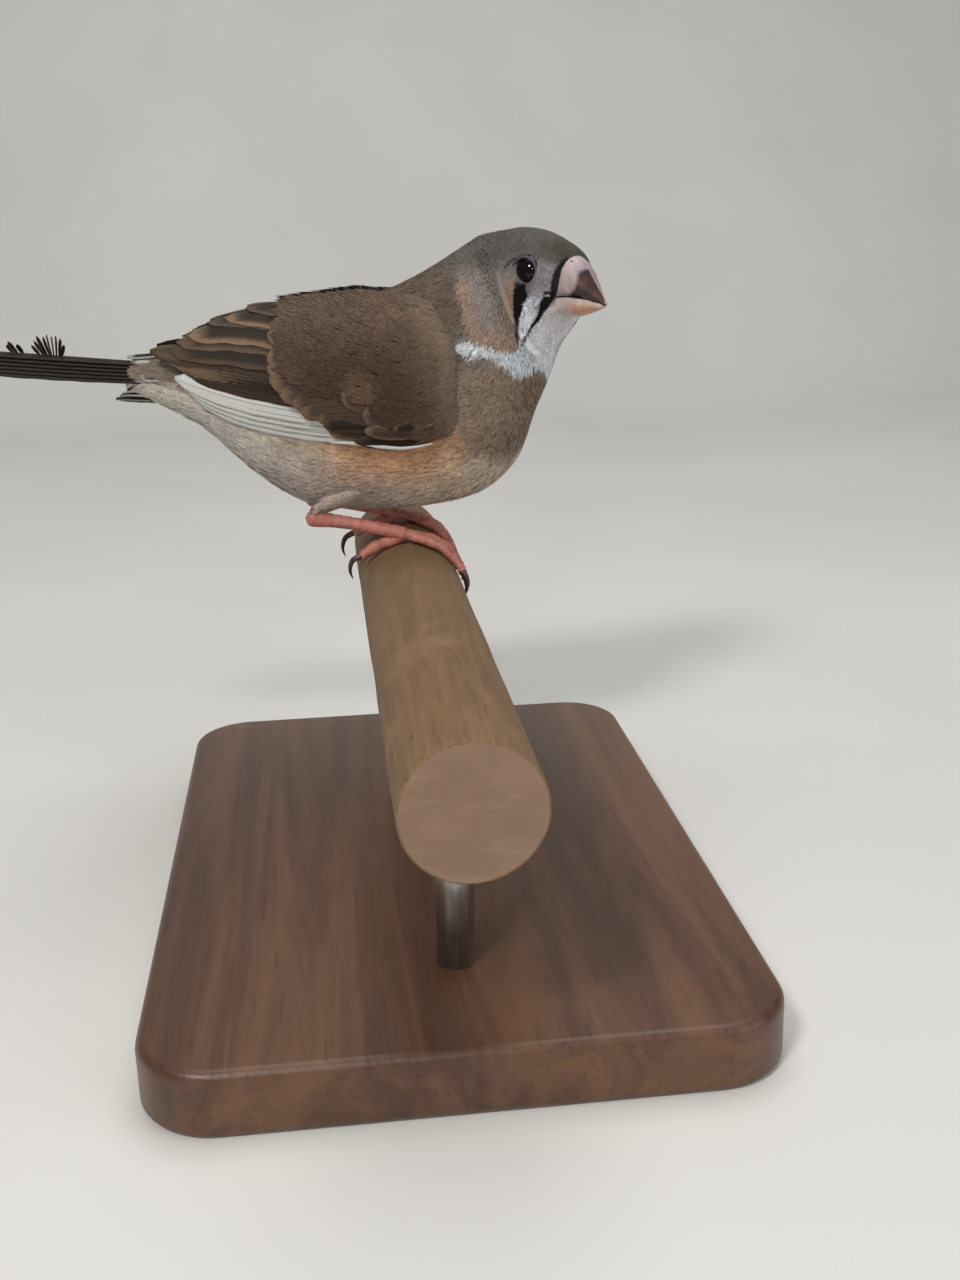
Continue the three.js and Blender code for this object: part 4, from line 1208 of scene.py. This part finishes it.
# Loose barbs that stand up from the tail: place along it, height, and lean per height
BARBS = [(-48.9, 1.2, 0.5), (-49.3, 2.0, 0.22), (-49.6, 2.4, 0.1), (-49.9, 2.3, 0.0), (-50.3, 2.5, -0.15),
         (-50.6, 2.2, -0.3), (-51.0, 2.3, -0.5), (-51.3, 1.6, -0.75), (-52.0, 0.9, -1.1),
         (-54.4, 0.8, -0.9), (-54.9, 1.3, -0.9), (-55.5, 0.7, -1.4)]


def make_tail(vanes):
    bed = FeatherBed("tail_feathers")
    back = np.array([-math.cos(math.radians(TAIL_RISE)), 0, math.sin(math.radians(TAIL_RISE))])
    for hand in (1, -1):
        for k in range(6):
            root = TAIL_ROOT + np.array([0, hand * (0.5 + 0.34 * k), 1.15 - 0.4 * k])
            tip = root + back * (TAIL_LENGTH - 0.9 * k) + np.array([0, hand * (0.45 + 0.3 * k), 0])
            tail_feather(bed, hand, root, tip, 1.85, -4 - 3 * k, varied(P["tail"]), P["wing_edge"], 0.08)
        # short barred feathers over and under the tail's root
        for k in range(5):
            root = (-30.5, hand * (0.6 + 0.95 * k), 36.0 - 0.55 * k)
            tip = (-39.6 + 0.5 * k, hand * (0.6 + 0.75 * k), 35.5 - 0.62 * k)
            tint, rim = (P["bar"], P["tail"]) if k % 2 else (P["tail"], P["bar"])
            tail_feather(bed, hand, root, tip, 1.3, -8 - 10 * k, varied(tint), rim, 0.7, 0.2, 12, COVERT_WIDE)
            root = (-31.0, hand * (0.6 + 0.9 * k), 28.7 + 0.55 * k)
            tip = (-41.8 + 0.7 * k, hand * (0.5 + 0.65 * k), 29.5 + 0.5 * k)
            tint, rim = P["tail" if k in (0, 3) else "bar"], P["tail" if k > 2 else "bar"]
            tail_feather(bed, hand, root, tip, 1.4, 8 + 11 * k, varied(tint), rim, 0.5, 0.2, 12, COVERT_WIDE)
    for x, high, lean in BARBS:
        root = (x, draws.uniform(-1.1, 0.3), 36.0 + 0.11 * (-50 - x))
        tip = (x + lean * high, root[1] - 0.3, root[2] + 0.5 + high)
        tail_feather(bed, -1, root, tip, draws.uniform(0.26, 0.4), 70, varied(P["tail"]), P["wing_edge"],
                     0.5, 0.2, 8, COVERT_WIDE, 0.07)
    bed.finish(vanes, "tail")


# The bill

# By place x along the bill: the ridge, the lower edge and the cutting edge as z, the half width,
# and by height z the place where the dark patch starts
BILL_BASE, BILL_TIP = 4.4, 11.6
CULMEN = keyed([[4.4, 3.0], [5.9, 2.35], [6.7, 1.65], [7.6, 0.75], [8.8, -0.4], [10, -1.55], [11, -2.5],
                [11.6, -3.1]])
KEEL = keyed([[4.4, -5.9], [6, -5.65], [8, -4.95], [10, -4.1], [11.2, -3.5]])
CUTTING_EDGE = keyed([[4.4, -3.2], [6.1, -2.8], [8.7, -2.65], [10.6, -2.85], [11.6, -3.15]])
BILL_HALF = keyed([[4.4, 3.4], [6.1, 3.05], [7.3, 2.65], [8.7, 1.95], [9.6, 1.35], [10.7, 0.65],
                   [11.6, 0.14]])
DARK_EDGE = keyed([[-3.0, 6.2], [-2.4, 6.5], [-1.9, 6.9], [-1.4, 7.15], [-0.4, 7.15], [0.8, 6.95], [1.5, 7.0],
                   [2.2, 7.3]])


def bill_point(upper):
    """The surface of the upper or lower half of the bill, for wrap."""
    tip = BILL_TIP if upper else BILL_TIP - 0.35

    def point(s, turn):
        s = 1 - (1 - s) ** 1.35
        x = BILL_BASE + (tip - BILL_BASE) * s
        ring = turn * 2 * math.pi
        edge = CUTTING_EDGE(x) - (0 if upper else 0.16)
        crest = CULMEN(x) if upper else np.minimum(KEEL(x), edge - 0.12)
        c, t = np.cos(ring), np.sin(ring)
        y = BILL_HALF(x) * (1 if upper else 0.93) * np.sign(c) * np.abs(c) ** 0.96
        arch = np.where(t > 0, np.abs(t) ** (0.55 + 0.3 * s if upper else 0.7), 0)
        z = edge + (crest - edge) * arch + np.where(t < 0, 0.3 * t * t * (1 if upper else -1), 0)
        lean = (0.9 if upper else 0.5) * (1 - np.abs(t)) * -0.5
        return in_head(x + lean, y, z)

    return point


def make_bill(material):
    for upper in (True, False):
        name = "bill_upper_horn" if upper else "bill_lower_horn"
        bm = bmesh.new()
        wrap(bm, bill_point(upper), 65, 49)
        mesh = to_mesh(bm, name)
        p = points_of(mesh)
        q = from_head(p)
        x, y, z = q.T
        wobble = 0.3 * fine_noise(p, 1.1, 7)
        fine = 0.12 * fine_noise(p, 0.35, 8)
        # painted shade: the dark line where both halves meet is stronger towards the tip
        gap, shut = z - CUTTING_EDGE(x), ease(6.2, 7.2, x)
        if upper:
            patch = ease(-0.32, 0.3, x + 0.5 * wobble + fine - DARK_EDGE(z)) * ease(11.6, 10.9, x)
            patch = patch * ease(-2.95, -2.7, z + fine)
            # painted highlight: a pale strip just left of the ridge, on the far side only, is kept clear of
            # the dark and brown marks as light falling on that side
            crest = ease(-0.16, 0.06, y + 0.3 * wobble) * ease(1.5, 1.15, y + wobble)
            brown = patch * (1 - crest) * ease(1.2, 0.3, np.hypot(x - 7.7, (z + 0.4) * 0.8))
            rusty = patch * (1 - crest) * ease(9.1, 9.9, x + wobble)
            # painted highlight: the upper half is paler towards its base and top, as glare
            c = painted(P["bill_pink"], (ease(-2.4, -0.4, z) * ease(6.6, 5.2, x), "bill_glare"),
                        (0.95 * patch * (1 - 0.8 * crest), "bill_dark"), (0.35 * brown, "bill_rust"),
                        (0.4 * rusty, "bill_rust"),
                        (ease(0.22, 0.05, gap) * mid(0.35, 0.85, shut), "bill_dark"))
        else:
            # partly painted highlight: the orange is kept below a band just under the cutting edge, which
            # stays pale flesh as glare; the flesh at the base and tip is the horn's own colour
            middle = ease(5.9, 7.2, x + wobble) * ease(10.8, 9.6, x) * ease(-3.35, -3.9, z + 0.5 * wobble)
            c = painted(P["bill_flesh"], (0.9 * middle, "bill_orange"),
                        # the same painted shade along the cutting edge
                        (ease(-0.3, -0.18, gap) * mid(0.25, 0.5, shut), "bill_dark"))
        colour_points(mesh, np.clip(c, 0, 1))
        finish_piece(mesh, material, ("bill_upper",) if upper else ("bill_lower",))


def make_nostrils(material):
    bm = bmesh.new()
    for hand in (1, -1):
        made = bmesh.ops.create_uvsphere(bm, u_segments=16, v_segments=10, radius=0.2 * MM)["verts"]
        spot = Matrix.Translation(place(in_head(5.15, hand * 1.85, 2.1)))
        flat = Matrix.Diagonal((1.2, 0.6, 0.7, 1))
        bmesh.ops.transform(bm, matrix=spot @ (HEAD_MATRIX @ flat), verts=made)
    mesh = to_mesh(bm, "nostrils")
    # painted shade: the nostrils' dark colour stands for the shade inside the openings
    colour_points(mesh, paint("6a4a48"))
    finish_piece(mesh, material)


# The eyes

RIM_RADIUS, RIM_THICK = 2.0, 0.24
RIM_OUT = 5.98


def make_eyes(material, rim_material):
    """The eyeballs, and round each a folded ring of bare skin."""
    for name, hand in (("right", -1), ("left", 1)):
        centre = in_head(EYE_AT[0], hand * EYE_AT[1], EYE_AT[2])
        bm = bmesh.new()
        bmesh.ops.create_uvsphere(bm, u_segments=48, v_segments=32, radius=EYE_RADIUS * MM)
        bmesh.ops.transform(bm, matrix=Matrix.Translation(place(centre)) @ HEAD_MATRIX, verts=bm.verts)
        finish_piece(to_mesh(bm, "eyeball_" + name), material, ("eye_" + name,))
        bm = bmesh.new()
        made = bmesh.ops.create_circle(bm, segments=14, radius=RIM_THICK * MM, cap_ends=False)["verts"]
        bmesh.ops.rotate(bm, verts=made, cent=(0, 0, 0), matrix=Matrix.Rotation(math.pi / 2, 3, "X"))
        bmesh.ops.translate(bm, verts=made, vec=(RIM_RADIUS * MM, 0, 0))
        bmesh.ops.spin(bm, geom=bm.verts[:] + bm.edges[:], cent=(0, 0, 0), axis=(0, 0, 1), dvec=(0, 0, 0),
                       angle=2 * math.pi, steps=56, use_merge=True)
        bmesh.ops.remove_doubles(bm, verts=bm.verts, dist=1e-6)
        bmesh.ops.recalc_face_normals(bm, faces=bm.faces)
        for v in bm.verts:
            v.co.z *= 1 + 0.035 * math.sin(math.atan2(v.co.y, v.co.x) * 22)
            v.co.y *= 0.98
        lean = Matrix.Rotation(-hand * math.pi / 2, 4, "X")
        seat = Matrix.Rotation(math.radians(-hand * 13), 4, "Z")
        out = Matrix.Translation(place(in_head(EYE_AT[0], hand * RIM_OUT, EYE_AT[2])))
        bmesh.ops.transform(bm, matrix=out @ HEAD_MATRIX @ seat @ lean, verts=bm.verts)
        mesh = to_mesh(bm, "eye_rim_" + name)
        colour_points(mesh, paint("4d474c"))
        finish_piece(mesh, rim_material)


# Legs, toes and claws

def tube_point(path, radius, waves=0, depth=0.0):
    """A round limb through a path. waves scutes ring it, each standing out by depth."""
    path = np.array(path, float)

    def point(s, turn):
        at = s * (len(path) - 1)
        centre = through(path, at)
        way = unit(through(path, at + 0.02) - through(path, at - 0.02))
        side = unit(np.cross(way, np.array([0.02, 0.05, 1.0])))
        up = np.cross(side, way)
        ring = turn * 2 * math.pi
        scute = depth * ((s * waves) % 1.0 - 0.5) * (waves > 0)
        r = radius(s) + scute * (np.sin(ring) > -0.3)
        end = np.sqrt(np.clip(np.minimum(s, 1 - s) * 26, 0, 1))
        return centre + (side * np.cos(ring)[:, None] + up * np.sin(ring)[:, None]) * (r * end)[:, None]

    return point


# Each toe and its claw: the angles round the perch and the places to the side where it starts and
# ends, its radius, its claw's length, and how far the toe of a hand is lifted at its end
TOES = [
    {"from": -6, "to": -53, "start": -0.2, "end": -0.6, "radius": 0.9, "claw": 3.3,
     "lift": {1: 1.7, -1: 0.9}},
    {"from": 2, "to": 66, "start": 0.9, "end": 3.4, "radius": 0.72, "claw": 3.0},
    {"from": 0, "to": 76, "start": 0, "end": -0.1, "radius": 0.8, "claw": 3.4},
    {"from": 2, "to": 67, "start": -0.9, "end": -3.6, "radius": 0.72, "claw": 3.0},
]
TOE_HEIGHT = 0.7
PERCH_RADIUS = 7.5
# Radii by the share of the way: a toe's pads as factors, a shank and a claw in millimetres
TOE_PADS = keyed([[0, 1.05], [0.18, 0.92], [0.34, 1.06], [0.5, 0.88], [0.66, 1.04], [0.82, 0.84], [1, 0.86]])
SHANK = keyed([[0, 1.0], [0.08, 1.25], [0.3, 1.0], [0.75, 0.95], [1, 1.05]])
CLAW = keyed([[0, 0.5], [0.4, 0.38], [0.75, 0.22], [1, 0.05]])


def on_perch(turn, y, height):
    """Places round the perch by angle from its top, place along it and height over its surface."""
    t, reach = np.radians(turn), PERCH_RADIUS + height
    return np.stack([reach * np.sin(t), y + 0 * t, reach * np.cos(t)], -1)


def make_leg(hand, skin, horn):
    side = "left" if hand > 0 else "right"
    y = hand * LEG_SIDE[hand]

    def shade(mesh, seed):
        mark = ease(-0.1, 0.5, fine_noise(points_of(mesh), 1.6, seed))
        colour_points(mesh, painted(P["leg"], (0.45 * mark, "leg_dark")))

    bm = bmesh.new()
    middle = (mid(HEEL[0], FOOT[0], 0.5), y, mid(HEEL[1], FOOT[1], 0.5) + 0.25)
    path = [(HEEL[0], y, HEEL[1]), middle, (FOOT[0] + 0.5, y, FOOT[1] - 0.1)]
    wrap(bm, tube_point(path, SHANK, 11, 0.12), 89, 21)
    mesh = to_mesh(bm, "shank_" + side)
    shade(mesh, 3)
    finish_piece(mesh, skin, ("tarsus_" + side,))
    joined = bpy.data.meshes.new("toes_" + side)
    for number, toe in enumerate(TOES, 1):
        lift = toe.get("lift", {}).get(hand, 0)
        s = np.linspace(0, 1, 6)
        path = on_perch(mid(toe["from"], toe["to"], s), y + hand * mid(toe["start"], toe["end"], s),
                        TOE_HEIGHT + 0.12 + lift * s * s)
        path = np.concatenate([[(FOOT[0] - 0.3 * np.sign(toe["to"]), y, FOOT[1] + 0.1)], path[1:]])
        bm = bmesh.new()
        radius = toe["radius"] * 0.98
        wrap(bm, tube_point(path, lambda t, r=radius: r * TOE_PADS(t), 13, 0.1), 79, 19)
        bm.from_mesh(joined)
        bm.to_mesh(joined)
        bm.free()
        # the claw arches clear of the perch and comes down at its point
        bm = bmesh.new()
        way = 1 if toe["to"] > 0 else -1
        reach = PERCH_RADIUS + TOE_HEIGHT
        hump = 0.75 if lift else 0.15
        start = toe["to"] - way * 2.0
        bow = np.array([(0, 0), (0.35, hump), (0.7, 0.7 * hump), (1, -0.3)])
        turn = start + np.degrees(way * bow[:, 0] * (toe["claw"] + 0.3) / reach)
        curve = on_perch(turn, y + hand * toe["end"], TOE_HEIGHT + lift + 0.1 + bow[:, 1])
        wrap(bm, tube_point(curve, CLAW), 33, 17)
        mesh = to_mesh(bm, f"nail_{side}_{number}")
        far = np.linalg.norm(points_of(mesh) - curve[0], axis=1)
        colour_points(mesh, painted(P["claw"], (ease(0.4, 2.0, far), "claw_tip")))
        finish_piece(mesh, horn, (f"claw_{side}_{number}",))
    shade(joined, 4)
    finish_piece(joined, skin, ("foot_" + side,))


# The perch and its stand

PERCH_LENGTH = 117.0
DENT_DEPTH = 0.22 * MM
STAND_SIZE, STAND_CORNER, STAND_EDGE = (72.0, 106.0, 8.0), 9.0, 1.2
ROD_RADIUS, ROD_LENGTH = 2.4, 22.3


def rod(radius, length, segments):
    bm = bmesh.new()
    bmesh.ops.create_cone(bm, cap_ends=True, segments=segments, radius1=radius * MM, radius2=radius * MM,
                          depth=length * MM)
    return bm


def round_edges(bm, edges, width, steps):
    bmesh.ops.bevel(bm, geom=edges, offset=width * MM, offset_type="OFFSET", affect="EDGES",
                    segments=steps, profile=0.5, material=-1)


def upright_edges(bm, least):
    return [e for e in bm.edges if abs(e.verts[0].co.z - e.verts[1].co.z) > least * MM]


def make_perch(wood, cut):
    bm = rod(PERCH_RADIUS, PERCH_LENGTH, 128)
    rims = [e for e in bm.edges if len({f for f in e.link_faces if len(f.verts) > 4}) == 1]
    round_edges(bm, rims, 0.25, 3)
    bmesh.ops.subdivide_edges(bm, edges=upright_edges(bm, 50), cuts=70, use_grid_fill=True)
    bmesh.ops.rotate(bm, verts=bm.verts, cent=(0, 0, 0), matrix=Matrix.Rotation(-math.pi / 2, 3, "X"))
    bmesh.ops.translate(bm, verts=bm.verts, vec=(0, 0, BIRD_AT[2] * MM))
    for face in bm.faces:
        face.material_index = 1 if len(face.verts) > 4 else 0
    for v in bm.verts:
        out = Vector((v.co.x, 0, v.co.z - BIRD_AT[2] * MM))
        dent = noise.noise(Vector((v.co.x * 160, v.co.y * 60, v.co.z * 160)))
        v.co += out.normalized() * min(0.0, dent) * DENT_DEPTH
    mesh = to_mesh(bm, "perch_round")
    finish_piece(mesh, wood, ("perch",))
    mesh.materials.append(cut)
    mesh.polygons.foreach_set("use_smooth", [len(face.vertices) <= 4 for face in mesh.polygons])


def make_stand(wood, steel):
    bm = bmesh.new()
    bmesh.ops.create_cube(bm, size=1.0)
    bmesh.ops.scale(bm, verts=bm.verts, vec=[side * MM for side in STAND_SIZE])
    bmesh.ops.translate(bm, verts=bm.verts, vec=(0, 0, STAND_SIZE[2] * MM / 2))
    round_edges(bm, upright_edges(bm, 1), STAND_CORNER, 12)
    rims = [e for e in bm.edges if any(len(f.verts) > 4 for f in e.link_faces)]
    round_edges(bm, rims, STAND_EDGE, 5)
    finish_piece(to_mesh(bm, "base_board"), wood, ("stand_base",))
    for name in ("front", "rear"):
        low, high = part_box("stand_rod_" + name)
        middle = (low + high) / 2
        bm = rod(ROD_RADIUS, ROD_LENGTH, 48)
        height = (STAND_SIZE[2] + ROD_LENGTH / 2) * MM
        bmesh.ops.translate(bm, verts=bm.verts, vec=(middle.x, middle.y, height))
        finish_piece(to_mesh(bm, "rod_" + name), steel, ("stand_rod_" + name,))


# Floor and light, in metres

FLOOR_SIZE = 3.0
CURVE_START = 0.45
LOOKED_AT = Vector((0, BIRD_AT[1] * MM, 0.06))
# Name, place, size, power in watts and colour
LIGHTS = [
    ("key", (-0.28, -0.42, 0.55), 0.12, 2.4, (1.0, 0.98, 0.95)),
    ("fill", (0.45, -0.35, 0.30), 0.5, 0.9, (0.93, 0.96, 1.0)),
    ("top", (0.05, 0.15, 0.7), 0.5, 1.9, (1.0, 1.0, 1.0)),
    ("window", (-0.10, -0.55, 0.32), 0.02, 0.35, (1.0, 1.0, 1.0)),
]


def make_floor(material):
    """A floor that curves up into a wall behind the part."""
    bm = bmesh.new()
    bmesh.ops.create_grid(bm, x_segments=60, y_segments=60, size=0.5)
    for v in bm.verts:
        spread = Vector((v.co.x * FLOOR_SIZE, v.co.y * FLOOR_SIZE + 0.3, 0))
        rise = max(0.0, spread.y - CURVE_START)
        v.co = (spread.x, spread.y - rise * 0.5, rise * rise * 1.1)
    new_object(to_mesh(bm, "floor"), material)


def make_light():
    world = bpy.data.worlds.new("studio")
    bpy.context.scene.world = world
    world.use_nodes = True
    sky = world.node_tree.nodes["Background"].inputs
    sky["Color"].default_value = (0.80, 0.83, 0.86, 1)
    sky["Strength"].default_value = 0.24
    for name, at, size, power, colour in LIGHTS:
        data = bpy.data.lights.new(name, "AREA")
        data.shape = "RECTANGLE"
        data.size = size
        data.size_y = size
        data.energy = power
        data.color = colour
        light = bpy.data.objects.new(name, data)
        turned = (LOOKED_AT - Vector(at)).to_track_quat("-Z", "Y").to_matrix().to_4x4()
        light.matrix_world = Matrix.Translation(at) @ turned
        bpy.context.scene.collection.objects.link(light)
    bpy.context.scene.view_settings.view_transform = "Standard"


def main():
    plumage = plumage_material()
    vanes = vane_material()
    leg_skin = scale_material("leg_skin", "7d3b2f")
    rim_skin = scale_material("eye_rim_skin", "2d282c")
    make_skin(plumage)
    make_body_coat(plumage)
    make_thigh_coat(plumage)
    for side, mirror in (("left", False), ("right", True)):
        make_wing_core("wing_core_" + side, mirror, plumage)
        make_wing("wing_feathers_" + side, mirror, vanes, "wing_" + side)
        make_shoulder("shoulder_" + side, mirror, plumage)
    make_tail(vanes)
    horn = bill_material()
    make_bill(horn)
    make_nostrils(horn)
    make_eyes(eye_material(), rim_skin)
    claws = claw_material()
    for hand in (1, -1):
        make_leg(hand, leg_skin, claws)
    make_perch(perch_material(), cut_wood_material())
    make_stand(stand_wood_material(), steel_material())
    make_floor(floor_material())
    make_light()


main()
